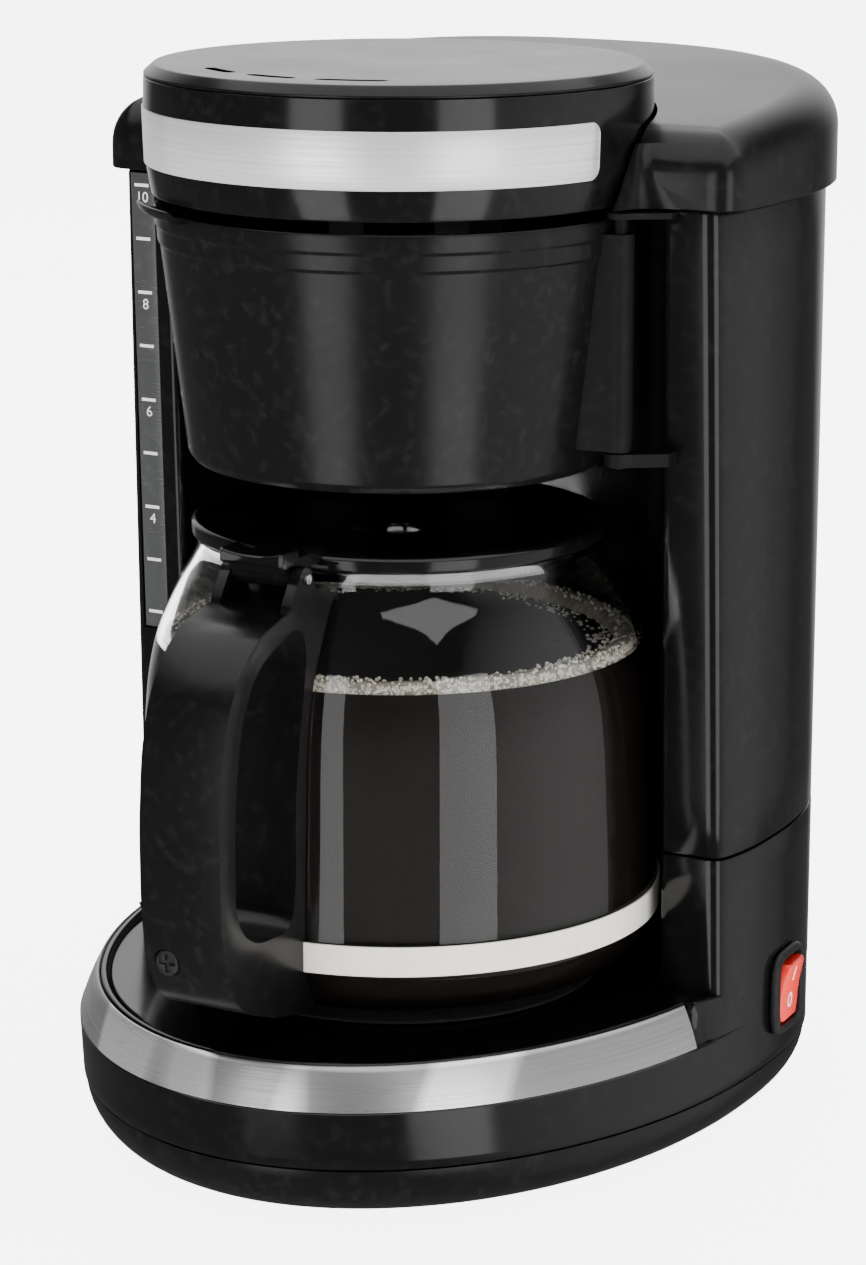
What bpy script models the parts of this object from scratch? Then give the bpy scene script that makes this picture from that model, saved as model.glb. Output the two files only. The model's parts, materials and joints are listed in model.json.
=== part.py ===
"""Drip coffee maker: base with hot plate, water tower, brew head, swing-out basket and glass carafe.

Metres, +Z up. The machine faces -Y and stands on Z = 0, with the origin under the middle of the whole object.
Shapes are drawn round the brew axis, on which head, basket and carafe are centred; it stands at Y = BREW_Y.
"""

import math

import bmesh
import bpy
from mathutils import Matrix, Vector

MM = 0.001
GAP = 0.3 * MM

# Plan of the housing, from the brew axis
HALF_WIDTH = 99.4 * MM
WIDEST_Y = 35.0 * MM
BACK_REACH = 94.5 * MM
BOWL_REACH = 134.4 * MM
BOWL_FLARE = 2.0 * MM
SHOULDER_REACH = 65.7 * MM
BACK_POWER = 2.5
BOWL_POWER = 2.0
RECESS_RADIUS = 78.75 * MM
WALL = 2.5 * MM
LID_LIP = 2.8 * MM
LID_SHOULDER_REACH = 95.7 * MM
LID_CORNER = 5.0 * MM
HANDLE_REACH = 115.0 * MM
BREW_Y = (HANDLE_REACH - (WIDEST_Y + BACK_REACH + LID_LIP)) / 2

# Heights
FOOT_HEIGHT = 2.8 * MM
SEAM_Z = 18.9 * MM
BAND_LOW_Z = 35.9 * MM
DECK_Z = 46.4 * MM
PLATE_TOP_Z = 49.8 * MM
COLUMN_TOP_Z = 87.3 * MM
TOWER_LOW_Z = 87.8 * MM
TOWER_TOP_Z = 268.3 * MM
HEAD_LOW_Z = 269.3 * MM
LID_LOW_Z = 268.8 * MM
LID_TOP_Z = 288.6 * MM
LID_RISE = 0.105
CAP_LOW_Z = 301.5 * MM
HEAD_TOP_Z = 304.6 * MM

# Front face of the tower: it leans back towards its foot
FACE_Y_TOP = 5.0 * MM
FACE_LEAN = 0.0277

# Moving parts
BASKET_PIVOT = Vector((70.0, -3.0, 0.0)) * MM
LID_AXIS = Vector((0.0, 130.2, 266.0)) * MM
KNUCKLE_RADIUS = 2.1
JUG_LID_AXIS = Vector((0.0, -71.0, 174.8)) * MM
SWITCH_CENTRE = Vector((99.0, 50.0, 39.0)) * MM
SWITCH_TURN = math.radians(3.8)
VALVE_BORE = 4.0 * MM
VALVE_Z = 37.5

FINE_STEPS = 36
COARSE_STEPS = 16


# ---------------------------------------------------------------- scene and helpers

def clear_scene():
    for obj in list(bpy.data.objects):
        bpy.data.objects.remove(obj, do_unlink=True)
    for collection in list(bpy.data.collections):
        bpy.data.collections.remove(collection)


def new_collection(name):
    collection = bpy.data.collections.new(name)
    bpy.context.scene.collection.children.link(collection)
    return collection


clear_scene()
PARTS = new_collection("drip_coffee_maker")
CUTTERS = new_collection("cutters")
BREW_AXIS = bpy.data.objects.new("brew_axis", None)
BREW_AXIS.location = (0.0, BREW_Y, 0.0)
PARTS.objects.link(BREW_AXIS)


def material(name, colour, roughness, metallic=0.0, transmission=0.0):
    made = bpy.data.materials.new(name)
    made.use_nodes = True
    shader = made.node_tree.nodes["Principled BSDF"]
    shader.inputs["Base Color"].default_value = (*colour, 1.0)
    shader.inputs["Roughness"].default_value = roughness
    shader.inputs["Metallic"].default_value = metallic
    shader.inputs["Transmission Weight"].default_value = transmission
    return made


GLOSS_BLACK = material("gloss_black", (0.012, 0.012, 0.013), 0.18)
SATIN_BLACK = material("satin_black", (0.02, 0.02, 0.021), 0.42)
MATT_BLACK = material("matt_black", (0.03, 0.03, 0.03), 0.6)
BRUSHED = material("brushed_steel", (0.72, 0.72, 0.71), 0.35, 1.0)
STEEL = material("steel", (0.6, 0.6, 0.6), 0.3, 1.0)
ALUMINIUM = material("aluminium", (0.75, 0.75, 0.76), 0.4, 1.0)
CHROME = material("chrome", (0.8, 0.8, 0.8), 0.12, 1.0)
GLASS = material("glass", (0.95, 0.97, 0.97), 0.02, 0.0, 1.0)
SMOKED = material("smoked_window", (0.25, 0.26, 0.27), 0.3, 0.0, 0.5)
TANK_PLASTIC = material("tank_plastic", (0.62, 0.63, 0.63), 0.45, 0.0, 0.3)
SILICONE = material("silicone", (0.55, 0.54, 0.5), 0.55)
RUBBER = material("rubber", (0.02, 0.02, 0.02), 0.8)
RED = material("red_plastic", (0.72, 0.03, 0.02), 0.3)


def place(obj, mover=None):
    """Hangs obj, whose shape is drawn round the brew axis, under that axis or under a moving part's empty."""
    if mover is None:
        obj.parent = BREW_AXIS
        return obj
    obj.parent = mover
    obj.location = -mover.location
    return obj


def joint_empty(name, position):
    empty = bpy.data.objects.new(name, None)
    empty.location = position
    empty.parent = BREW_AXIS
    PARTS.objects.link(empty)
    return empty


def add_object(name, data, finish, mover=None, collection=None):
    obj = bpy.data.objects.new(name, data)
    (collection or PARTS).objects.link(obj)
    if finish is not None:
        data.materials.append(finish)
    return place(obj, mover)


def as_cutter(obj):
    obj.hide_render = True
    obj.display_type = "WIRE"
    return obj


def finish_mesh(name, bm, finish, mover=None, collection=None):
    bmesh.ops.recalc_face_normals(bm, faces=bm.faces)
    mesh = bpy.data.meshes.new(name)
    bm.to_mesh(mesh)
    bm.free()
    mesh.shade_smooth()
    mesh.set_sharp_from_angle(angle=math.radians(35))
    return add_object(name, mesh, finish, mover, collection)


def loft(name, rings, finish, loop=False, mover=None, collection=None):
    """Skins rings of equal length; the ends are capped, or with loop the last ring joins the first."""
    bm = bmesh.new()
    rows = [[bm.verts.new(point) for point in ring] for ring in rings]
    count = len(rows[0])
    pairs = list(zip(rows, rows[1:]))
    if loop:
        pairs.append((rows[-1], rows[0]))
    for low, high in pairs:
        for i in range(count):
            j = (i + 1) % count
            bm.faces.new((low[i], low[j], high[j], high[i]))
    if not loop:
        bm.faces.new(rows[0])
        bm.faces.new(rows[-1])
    return finish_mesh(name, bm, finish, mover, collection)


def revolve(name, profile, finish, centre=(0.0, 0.0), steps=FINE_STEPS, ring=False, mover=None, collection=None):
    """Turns a profile of (radius, z) in millimetres about the vertical through centre, with a Screw modifier."""
    mesh = bpy.data.meshes.new(name)
    points = [(radius * MM, 0.0, z * MM) for radius, z in profile]
    edges = [(i, i + 1) for i in range(len(points) - 1)]
    if ring:
        edges.append((len(points) - 1, 0))
    mesh.from_pydata(points, edges, [])
    obj = add_object(name, mesh, finish, mover, collection)
    obj.location = obj.location + Vector((centre[0], centre[1], 0.0))
    screw = obj.modifiers.new("turn", "SCREW")
    screw.steps = steps
    screw.render_steps = steps
    screw.use_merge_vertices = True
    screw.merge_threshold = 0.00001
    screw.use_smooth_shade = True
    return obj


def box(name, low, high, finish, mover=None, collection=None, bevel=0.0):
    """A box between two corners in millimetres."""
    bm = bmesh.new()
    size = [(high[i] - low[i]) * MM for i in range(3)]
    middle = [(high[i] + low[i]) * MM / 2 for i in range(3)]
    bmesh.ops.create_cube(bm, size=1.0, matrix=Matrix.Translation(middle) @ Matrix.Diagonal((*size, 1.0)))
    obj = finish_mesh(name, bm, finish, mover, collection)
    if bevel:
        add_bevel(obj, bevel)
    return obj


def rod(name, start, end, radius, finish, steps=COARSE_STEPS, mover=None, collection=None, tip=None):
    """A cylinder, or with tip a cone frustum, between two points in millimetres."""
    a = Vector(start) * MM
    b = Vector(end) * MM
    bm = bmesh.new()
    turn = (b - a).to_track_quat("Z", "Y").to_matrix().to_4x4()
    bmesh.ops.create_cone(
        bm, cap_ends=True, segments=steps, radius1=radius * MM, radius2=(tip or radius) * MM,
        depth=(b - a).length, matrix=Matrix.Translation((a + b) / 2) @ turn)
    return finish_mesh(name, bm, finish, mover, collection)


def add_bevel(obj, width, segments=2):
    bevel = obj.modifiers.new("rounding", "BEVEL")
    bevel.width = width * MM
    bevel.segments = segments
    bevel.limit_method = "ANGLE"
    bevel.angle_limit = math.radians(40)


def combine(obj, other, operation="DIFFERENCE"):
    step = obj.modifiers.new(operation.lower(), "BOOLEAN")
    step.operation = operation
    step.solver = "EXACT"
    step.object = as_cutter(other)


def cut(obj, cutter):
    combine(obj, cutter, "DIFFERENCE")


def join(obj, other):
    combine(obj, other, "UNION")


def tube(name, points, radius, wall, finish, bevel=1):
    """A round hose through points in millimetres: a bevelled curve with Solidify, or solid if wall is None."""
    curve = bpy.data.curves.new(name, "CURVE")
    curve.dimensions = "3D"
    curve.bevel_depth = radius * MM
    curve.bevel_resolution = bevel
    curve.use_fill_caps = wall is None
    spline = curve.splines.new("POLY")
    spline.points.add(len(points) - 1)
    for target, point in zip(spline.points, points):
        target.co = (*(Vector(point) * MM), 1.0)
    if wall is None:
        return solid_wire(name, curve, finish)
    obj = add_object(name, curve, finish)
    shell = obj.modifiers.new("wall", "SOLIDIFY")
    shell.thickness = wall * MM
    shell.offset = -1.0
    shell.use_even_offset = True
    return obj


def solid_wire(name, curve, finish):
    """Turns a capped curve into a closed mesh."""
    source = bpy.data.objects.new(name + "_path", curve)
    CUTTERS.objects.link(source)
    bpy.context.view_layer.update()
    mesh = bpy.data.meshes.new_from_object(source.evaluated_get(bpy.context.evaluated_depsgraph_get()))
    bpy.data.objects.remove(source, do_unlink=True)
    bm = bmesh.new()
    bm.from_mesh(mesh)
    bpy.data.meshes.remove(mesh)
    bmesh.ops.remove_doubles(bm, verts=bm.verts, dist=0.00001)
    return finish_mesh(name, bm, finish)


def rounded_route(corners, radius, steps=4):
    """Turns a list of corner points in millimetres into a route with arcs of about this radius at the corners."""
    points = [Vector(corners[0])]
    for before, here, after in zip(corners, corners[1:], corners[2:]):
        here = Vector(here)
        to_before = Vector(before) - here
        to_after = Vector(after) - here
        reach = min(radius, to_before.length * 0.45, to_after.length * 0.45)
        start = here + to_before.normalized() * reach
        end = here + to_after.normalized() * reach
        for k in range(steps + 1):
            s = k / steps
            points.append(start * (1 - s) ** 2 + here * 2 * s * (1 - s) + end * s ** 2)
    points.append(Vector(corners[-1]))
    return points


# ---------------------------------------------------------------- outlines of the housing

def signed_power(value, power):
    return math.copysign(abs(value) ** power, value)


def oval_point(t, inset, front_reach, front_power):
    behind = math.sin(t) >= 0.0
    reach = (BACK_REACH if behind else front_reach) - inset
    power = 2.0 / (BACK_POWER if behind else front_power)
    x = (HALF_WIDTH - inset) * signed_power(math.cos(t), power)
    y = WIDEST_Y + reach * signed_power(math.sin(t), power)
    return x, y


def base_ring(z, inset=0.0, cone=0.0, count=48):
    """Plan of the bowl at height z. The cone inset fades out where the tower's sides take over."""
    fade_from = 2.0 * MM
    fade_length = 6.0 * MM
    rise = min(1.0, max(0.0, (z - SEAM_Z) / (BAND_LOW_Z - SEAM_Z)))
    reach = BOWL_REACH + BOWL_FLARE * rise
    ring = []
    for i in range(count):
        t = 2 * math.pi * i / count
        x, y = oval_point(t, inset, reach, BOWL_POWER)
        weight = min(1.0, max(0.0, 1.0 - (y - fade_from) / fade_length))
        x, y = oval_point(t, inset + cone * weight, reach, BOWL_POWER)
        if fade_from < y < WIDEST_Y:
            narrow = min(abs(x), side_x(y, inset))
            x = math.copysign(abs(x) + (narrow - abs(x)) * min(1.0, cone / (7.0 * MM)), x)
        ring.append((x, y, z))
    return ring


def face_y(z):
    return FACE_Y_TOP + (TOWER_TOP_Z - z) * FACE_LEAN


def side_x(y, inset, shoulder=SHOULDER_REACH):
    """Half width of the tower at this depth, in front of its widest point."""
    share = (WIDEST_Y - y) / (shoulder - inset)
    return (HALF_WIDTH - inset) * (1.0 - share ** BACK_POWER) ** (1.0 / BACK_POWER)


def corner_points(start, corner, end, steps):
    points = []
    for k in range(steps + 1):
        s = k / steps
        points.append(tuple(
            start[i] * (1 - s) ** 2 + corner[i] * 2 * s * (1 - s) + end[i] * s ** 2 for i in range(2)))
    return points


def tower_side(front, inset, corner_radius, steps=10, shoulder=SHOULDER_REACH):
    """Right half of the outline from the front face, round its outer corner, to the middle of the back."""
    radius = max(corner_radius - inset, 0.6 * MM)
    corner = (side_x(front, inset, shoulder), front)
    start = (corner[0] - radius, front)
    end = (side_x(front + radius, inset, shoulder), front + radius)
    points = corner_points(start, corner, end, 3)
    share = (WIDEST_Y - end[1]) / (shoulder - inset)
    t_start = -math.asin(share ** (BACK_POWER / 2))
    for k in range(1, steps + 1):
        t = t_start + (math.pi / 2 - t_start) * k / steps
        points.append(oval_point(t, inset, shoulder, BACK_POWER))
    return points


def mirrored(points):
    return [(-x, y) for x, y in reversed(points)]


def tower_ring(z, inset=0.0, arc_steps=14):
    """C-shaped plan of the tower at height z: front faces, sides, back and the recess for the carafe."""
    front = face_y(z) + inset
    recess = RECESS_RADIUS + inset
    edge = max(2.0 * MM - inset, 0.4 * MM)
    inner_x = math.sqrt(recess ** 2 - front ** 2)
    rise = (math.sqrt(recess ** 2 - (front + edge) ** 2), front + edge)
    right = corner_points(rise, (inner_x, front), (inner_x + edge, front), 2)
    right += tower_side(front, inset, 3.5 * MM)
    outline = right + mirrored(right[:-1])
    a = math.atan2(rise[1], rise[0])
    for k in range(1, arc_steps):
        angle = math.pi - a - (math.pi - 2 * a) * k / arc_steps
        outline.append((recess * math.cos(angle), recess * math.sin(angle)))
    return [(x, y, z) for x, y in outline]


def lid_ring(z, inset=0.0, rise=0.0):
    """Full plan of the top cover, a lip wider than the tower, with a straight front; it rises towards the back."""
    front = face_y(TOWER_TOP_Z) - 2.0 * MM + inset
    right = tower_side(front, inset - LID_LIP, LID_CORNER, shoulder=LID_SHOULDER_REACH)
    outline = right + mirrored(right[:-1])
    return [(x, y, z + rise * (y - front + inset)) for x, y in outline]


def sweep_arc(name, profile, start, end, steps, finish, mover=None, collection=None):
    """Sweeps a closed profile of (radius, z) in millimetres about the brew axis; angles in degrees, 0 at the front."""
    rings = []
    for k in range(steps + 1):
        angle = math.radians(start + (end - start) * k / steps - 90.0)
        rings.append([(r * MM * math.cos(angle), r * MM * math.sin(angle), z * MM) for r, z in profile])
    return loft(name, rings, finish, mover=mover, collection=collection)


# ---------------------------------------------------------------- base

def make_bottom_cover():
    corner = 16.0 * MM
    floor = 2.0 * MM
    angles = [0, 30, 55, 90]
    outer = []
    inner = []
    for degrees in angles:
        a = math.radians(degrees)
        inset = 0.6 * MM + corner * (1 - math.sin(a))
        z = FOOT_HEIGHT + corner * (1 - math.cos(a))
        outer.append(base_ring(min(z, SEAM_Z - GAP), inset))
        inner.append(base_ring(min(z + floor, SEAM_Z - GAP), inset + floor))
    cover = loft("bottom_cover", outer + inner[::-1], SATIN_BLACK)
    for name, x, y in foot_places():
        cut(cover, rod("cut_hole_" + name, (x, y, 0), (x, y, 10), 2.8, None, 16, collection=CUTTERS))
    for name, x, y in screw_places():
        cut(cover, rod("cut_hole_" + name, (x, y, 0), (x, y, 10), 2.3, None, 16, collection=CUTTERS))


def foot_places():
    return [("foot_front_left", -46, -42), ("foot_front_right", 46, -42),
            ("foot_rear_left", -58, 92), ("foot_rear_right", 58, 92)]


def screw_places():
    return [("base_screw_front_left", -33, -63), ("base_screw_front_right", 33, -63),
            ("base_screw_rear_left", -52, 104), ("base_screw_rear_right", 52, 104)]


def make_feet_and_screws():
    for name, x, y in foot_places():
        profile = [(0, 8.5), (1.2, 8.5), (2.4, 7.2), (2.4, 2.5), (8.2, 2.5), (8.8, 2.0), (8.6, 0.5), (8.0, 0), (0, 0)]
        revolve(name, profile, RUBBER, (x * MM, y * MM), COARSE_STEPS)
    for name, x, y in screw_places():
        profile = [(0, 14), (1.0, 14), (1.5, 13), (1.5, 2.4), (3.6, 2.4), (3.4, 1.4), (2.6, 0.7), (0, 0.5)]
        revolve(name, profile, STEEL, (x * MM, y * MM), 10)


def make_base_housing():
    low = SEAM_Z + 0.2 * MM
    lip = 6.7 * MM
    outer = [base_ring(low, 0.4 * MM), base_ring(low + 0.6 * MM), base_ring(BAND_LOW_Z - 0.7 * MM),
             base_ring(BAND_LOW_Z - 0.1 * MM, 0.0, 0.5 * MM), base_ring(BAND_LOW_Z, 0.0, 2.2 * MM),
             base_ring(46.9 * MM, 0.0, 6.6 * MM), base_ring(47.5 * MM, 0.0, lip),
             base_ring(47.7 * MM, 0.8 * MM, lip), base_ring(47.3 * MM, 2.0 * MM, lip),
             base_ring(DECK_Z, 3.2 * MM, lip)]
    housing = loft("base_housing", outer, GLOSS_BLACK)
    skin = -0.2 * MM
    column = [tower_ring(40.0 * MM, skin), tower_ring(COLUMN_TOP_Z - 0.5 * MM, skin),
              tower_ring(COLUMN_TOP_Z, 0.4 * MM)]
    join(housing, loft("join_column", column, None, collection=CUTTERS))
    bowl_room = [base_ring(17.0 * MM, WALL), base_ring(33.2 * MM, WALL), base_ring(44.0 * MM, WALL, 8.0 * MM)]
    cut(housing, loft("cut_bowl_room", bowl_room, None, collection=CUTTERS))
    column_room = [tower_ring(30.0 * MM, WALL + 0.3 * MM), tower_ring(95.0 * MM, WALL + 0.3 * MM)]
    cut(housing, loft("cut_column_room", column_room, None, collection=CUTTERS))
    cut(housing, rod("cut_plate_hole", (0, 0, 40), (0, 0, 60), 55.5, None, 36, collection=CUTTERS))
    cut(housing, switch_piece("cut_switch_hole", oval_prism(20.6, 22.6, -9.0, 9.0), None, collection=CUTTERS))
    cut(housing, rod("cut_cord_hole", (-16, 100, 31), (-16, 150, 31), 6.1, None, 22, collection=CUTTERS))
    for name, x, y in screw_places():
        join(housing, rod("join_post_" + name, (x, y, 15.5), (x, y, 45.3), 4.2, None, 15, collection=CUTTERS))
        if y > 0:
            join(housing, box("join_rib_" + name, (x - 1.2, y, 24), (x + 1.2, y + 15.4, 45.6), None,
                              collection=CUTTERS))
        cut(housing, rod("cut_post_" + name, (x, y, 10), (x, y, 30), 1.9, None, 12, collection=CUTTERS))


def make_base_band():
    """Brushed strip on the sloped front of the bowl: its two faces follow the bowl's outline."""
    thick = 0.8 * MM
    rows = []
    low_z = BAND_LOW_Z + 0.2 * MM
    high_z = 47.0 * MM
    for z, cone in ((low_z, 0.5 * MM), (high_z, 5.2 * MM)):
        rows.append([p for p in front_arc(z, cone)])
    inner = []
    for z, cone in ((high_z - 0.2 * MM, 5.2 * MM + thick - 0.3 * MM), (low_z, 0.5 * MM + thick)):
        inner.append([p for p in front_arc(z, cone)])
    rings = [list(section) for section in zip(*(rows + inner))]
    loft("base_trim_band", rings, BRUSHED)


def front_arc(z, cone, steps=28):
    """Points on the bowl's front outline, from the left end of the band to its right end."""
    t_end = math.radians(15.5)
    points = []
    for k in range(steps + 1):
        t = -math.pi + t_end + (math.pi - 2 * t_end) * k / steps
        x, y = oval_point(t, cone, BOWL_REACH + BOWL_FLARE, BOWL_POWER)
        points.append((x, y, z))
    return points


def make_hot_plate():
    plate = [(0, 49.6), (44, 49.6), (45.5, 49.9), (47, 50.4), (49.5, 50.4), (51, 49.8), (52, 48.9), (52, 46.6),
             (50.8, 46.6), (50.6, 48.4), (46, 48.6), (0, 48.4)]
    revolve("hot_plate", plate, STEEL)
    seal = [(52.4, 49.2), (54.2, 49.0), (58.0, 47.6), (58.2, 46.8), (55.1, 46.8), (55.1, 43.5), (57, 42.5),
            (57, 41.6), (52.4, 41.6)]
    revolve("hot_plate_seal", seal, SILICONE, ring=True)


def make_heater():
    element = [(38 * math.sin(math.radians(a)), -38 * math.cos(math.radians(a)), 44.0) for a in range(-130, 131, 20)]
    tube("heating_element", element, 4.0, None, ALUMINIUM)
    reach = 28.5
    arc = [(reach * math.sin(math.radians(a)), -reach * math.cos(math.radians(a)), 43.6)
           for a in range(-150, 151, 20)]
    left_end = [(-14.2, 38, 40.0), (-14.2, 47, VALVE_Z), (-14.2, 66, VALVE_Z)]
    right_end = [(14.2, 38, 40.0), (14.2, 47, VALVE_Z), (14.2, 66, VALVE_Z)]
    tube("water_tube", left_end[::-1] + arc + right_end, 3.6, 0.9, ALUMINIUM)
    box("heater_clamp", (-6, -46, 37.6), (6, 30, 39.2), STEEL, bevel=0.4)
    rod("heater_clamp_screw", (0, -8, 34.8), (0, -8, 37.2), 3.4, STEEL, 18)
    revolve("thermostat", [(0, 39.0), (8, 39.0), (8, 36.2), (5.5, 35.4), (5.5, 31), (0, 31)], STEEL,
            (-26 * MM, -12 * MM), 24)
    rod("thermal_fuse", (22, -24, 37.4), (22, -8, 37.4), 2.2, SILICONE, 14)


def make_water_path():
    hose = rounded_route([(-30, 104, 81), (-30, 104, 46), (-14.2, 102, VALVE_Z), (-14.2, 86.4, VALVE_Z)], 12)
    tube("inlet_hose", hose, 5.4, 1.4, SILICONE)
    valve = [(3.9, 85.8), (3.9, 82.7), (4.6, 82.2), (4.6, 75.7), (5.2, 75.2), (5.2, 66.4), (3.4, 66.4),
             (3.4, 79.2), (3.2, 80.8), (1.8, 82.0), (1.8, 85.8)]
    body = revolve("check_valve_body", valve, SATIN_BLACK, steps=COARSE_STEPS, ring=True)
    body.rotation_euler = (-math.pi / 2, 0.0, 0.0)
    body.location = (-14.2 * MM, 0.0, VALVE_Z * MM)
    ball = joint_empty("check_ball_axis", Vector((-14.2, 76.7, VALVE_Z)) * MM)
    bm = bmesh.new()
    bmesh.ops.create_uvsphere(bm, u_segments=12, v_segments=8, radius=2.9 * MM,
                              matrix=Matrix.Translation(ball.location))
    finish_mesh("check_ball", bm, STEEL, ball)
    clamp = [(6.1, 3.0), (7.0, 3.0), (7.0, -3.0), (6.1, -3.0)]
    upper = revolve("hose_clamp_tank", clamp, STEEL, (-30 * MM, 104 * MM), COARSE_STEPS, ring=True)
    upper.location.z = 74 * MM
    riser = rounded_route([(14.2, 67.5, VALVE_Z), (14.2, 80, VALVE_Z), (50, 74, 36), (84, 40, 55), (85.5, 29, 76),
                           (85.5, 29, 279), (70, 24, 279.5), (14, 5, 279.5), (8, 3, 277.3)], 18)
    tube("riser_tube", riser, 3.9, 1.0, SILICONE)


def make_gland():
    gland = [(2.9, 10.8), (4.6, 10.8), (5.0, 10.2), (8.4, 10.2), (8.8, 9.6), (8.8, 8.8), (5.6, 8.8), (5.6, -1.0),
             (2.9, -1.0)]
    piece = revolve("cord_gland", gland, MATT_BLACK, steps=COARSE_STEPS, ring=True)
    piece.rotation_euler = (-math.pi / 2, 0.0, 0.0)
    x = -16 * MM
    piece.location = (x, oval_back_y(x) - 8.0 * MM, 31 * MM)


def oval_back_y(x):
    """Depth of the back wall's outer face at this x."""
    share = abs(x) / HALF_WIDTH
    return WIDEST_Y + BACK_REACH * (1.0 - share ** BACK_POWER) ** (1.0 / BACK_POWER)


# ---------------------------------------------------------------- switch

def switch_frame():
    turn = Matrix.Rotation(SWITCH_TURN, 4, "Z")
    return Matrix.Translation(SWITCH_CENTRE) @ turn


def switch_piece(name, rings, finish, mover=None, collection=None, loop=False):
    """Lofts rings given as (out, across, up) in millimetres from the middle of the switch opening."""
    frame = switch_frame()
    placed = [[tuple(frame @ (Vector(p) * MM)) for p in ring] for ring in rings]
    return loft(name, placed, finish, loop, mover, collection)


def oval(width, height, out, power=4.0, count=28):
    ring = []
    for i in range(count):
        t = 2 * math.pi * (i + 0.5) / count
        across = width / 2 * signed_power(math.cos(t), 2 / power)
        up = height / 2 * signed_power(math.sin(t), 2 / power)
        ring.append((out, across, up))
    return ring


def oval_prism(width, height, inner, outer):
    return [oval(width, height, inner), oval(width, height, outer)]


def make_switch():
    bezel = [oval(20.0, 22.0, -8.0), oval(20.0, 22.0, 0.5), oval(22.8, 25.0, 0.6), oval(23.0, 25.2, 1.2),
             oval(21.8, 24.2, 2.2), oval(19.0, 22.0, 2.5), oval(16.8, 20.1, 2.0, 6.0), oval(16.8, 20.1, -8.0, 6.0)]
    switch_piece("switch_bezel", bezel, MATT_BLACK, loop=True)
    body = [oval(19.6, 21.6, -13.0), oval(19.6, 21.6, -8.4)]
    switch_piece("switch_body", body, MATT_BLACK)
    pivot = switch_frame() @ (Vector((-3.0, 0.0, 0.0)) * MM)
    mover = joint_empty("rocker_axis", pivot)
    rows = []
    for up, half, low, high in ((-8.8, 5.4, -4.2, 0.8), (-5.0, 7.1, -6.6, 1.6), (0.0, 7.4, -7.2, 2.2),
                                (5.0, 7.1, -6.6, 3.0), (8.8, 5.4, -4.2, 3.6)):
        rows.append(rocker_section(up, half, low, high))
    switch_piece("rocker_switch", rows, RED, mover)


def rocker_section(up, half, low, high):
    soft = 1.0
    return [(low, -half, up), (low, half, up), (high - soft, half, up), (high, half - soft, up),
            (high, soft - half, up), (high - soft, -half, up)]


# ---------------------------------------------------------------- tower

def make_tower():
    heights = [TOWER_LOW_Z, TOWER_LOW_Z + 0.6 * MM, TOWER_TOP_Z - 0.6 * MM, TOWER_TOP_Z]
    insets = [0.4 * MM, 0.0, 0.0, 0.4 * MM]
    outer = [tower_ring(z, inset) for z, inset in zip(heights, insets)]
    inner = [tower_ring(TOWER_TOP_Z, WALL), tower_ring(TOWER_LOW_Z, WALL)]
    tower = loft("tower_housing", outer + inner, GLOSS_BLACK, loop=True)
    cut(tower, window_bar("cut_window", -92.9, -84.3, 132.0, 280.0, -3.0, 6.0, None, CUTTERS))
    for name, low, high in (("lower", 199.2, 202.8), ("upper", 266.4, 268.0)):
        lug = loft("join_lug_" + name, [lug_ring(low), lug_ring(high)], None, collection=CUTTERS)
        join(tower, lug)
        hole = rod("cut_lug_" + name, (70, -3, low - 2), (70, -3, high + 2), 2.3, None, 16, collection=CUTTERS)
        cut(tower, hole)


def lug_ring(z):
    """Outline of a hinge lug from the tower's right front edge to the basket's pivot."""
    pivot = BASKET_PIVOT
    points = [(83.0, 10.0), (77.6, 10.0), (76.8, 6.0), (71.5, 2.2)]
    ring = [(x * MM, y * MM, z * MM) for x, y in points]
    for degrees in range(110, 331, 44):
        a = math.radians(degrees)
        ring.append((pivot.x + 4.0 * MM * math.cos(a), pivot.y + 4.0 * MM * math.sin(a), z * MM))
    ring.append((83.0 * MM, 1.5 * MM, z * MM))
    return ring[::-1]


def window_bar(name, left, right, low, high, proud, depth, finish, collection=None):
    """A bar that follows the lean of the left front face, from proud (in front) to depth behind it."""
    rings = []
    for z in (low * MM, high * MM):
        y = face_y(z)
        front = y + proud * MM
        back = y + depth * MM
        rings.append([(left * MM, front, z), (right * MM, front, z), (right * MM, back, z), (left * MM, back, z)])
    return loft(name, rings, finish, collection=collection)


def make_gauge_window():
    window = window_bar("gauge_window", -92.5, -84.7, 132.4, 267.6, 0.5, 2.2, SMOKED)
    add_bevel(window, 0.4, 1)


def make_tank():
    """Inner water tub; its right front corner is left out to make room for the riser tube."""
    side = 1.0 * MM + WALL
    wall = 1.6 * MM
    low = 91.0 * MM
    top = 262.0 * MM
    tank = loft("water_tank", [tower_ring(low + 1.2 * MM, side + 1.2 * MM), tower_ring(low + 3.0 * MM, side),
                               tower_ring(top, side)], TANK_PLASTIC)
    box_cut = box("cut_tank_corner", (58, -20, 80), (130, 44, 280), None, collection=CUTTERS)
    cut(tank, box_cut)
    room = loft("cut_tank_room", [tower_ring(low + wall + 1.0 * MM, side + wall), tower_ring(275 * MM, side + wall)],
                None, collection=CUTTERS)
    cut(room, box("cut_room_corner", (56.4, -22, 80), (132, 45.6, 290), None, collection=CUTTERS))
    cut(tank, room)
    join(tank, rod("join_outlet", (-30, 104, 74.5), (-30, 104, 92.4), 2.9, None, 20, collection=CUTTERS))
    cut(tank, rod("cut_outlet", (-30, 104, 70), (-30, 104, 97), 2.0, None, 16, collection=CUTTERS))


# ---------------------------------------------------------------- top covers

def dome_rings(inset, top, low):
    radius = 13.0 * MM - inset
    rings = [lid_ring(low, inset)]
    for degrees in (0, 30, 60, 90):
        a = math.radians(degrees)
        rings.append(lid_ring(top - radius + radius * math.sin(a), inset + radius * (1 - math.cos(a)), LID_RISE))
    return rings


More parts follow.
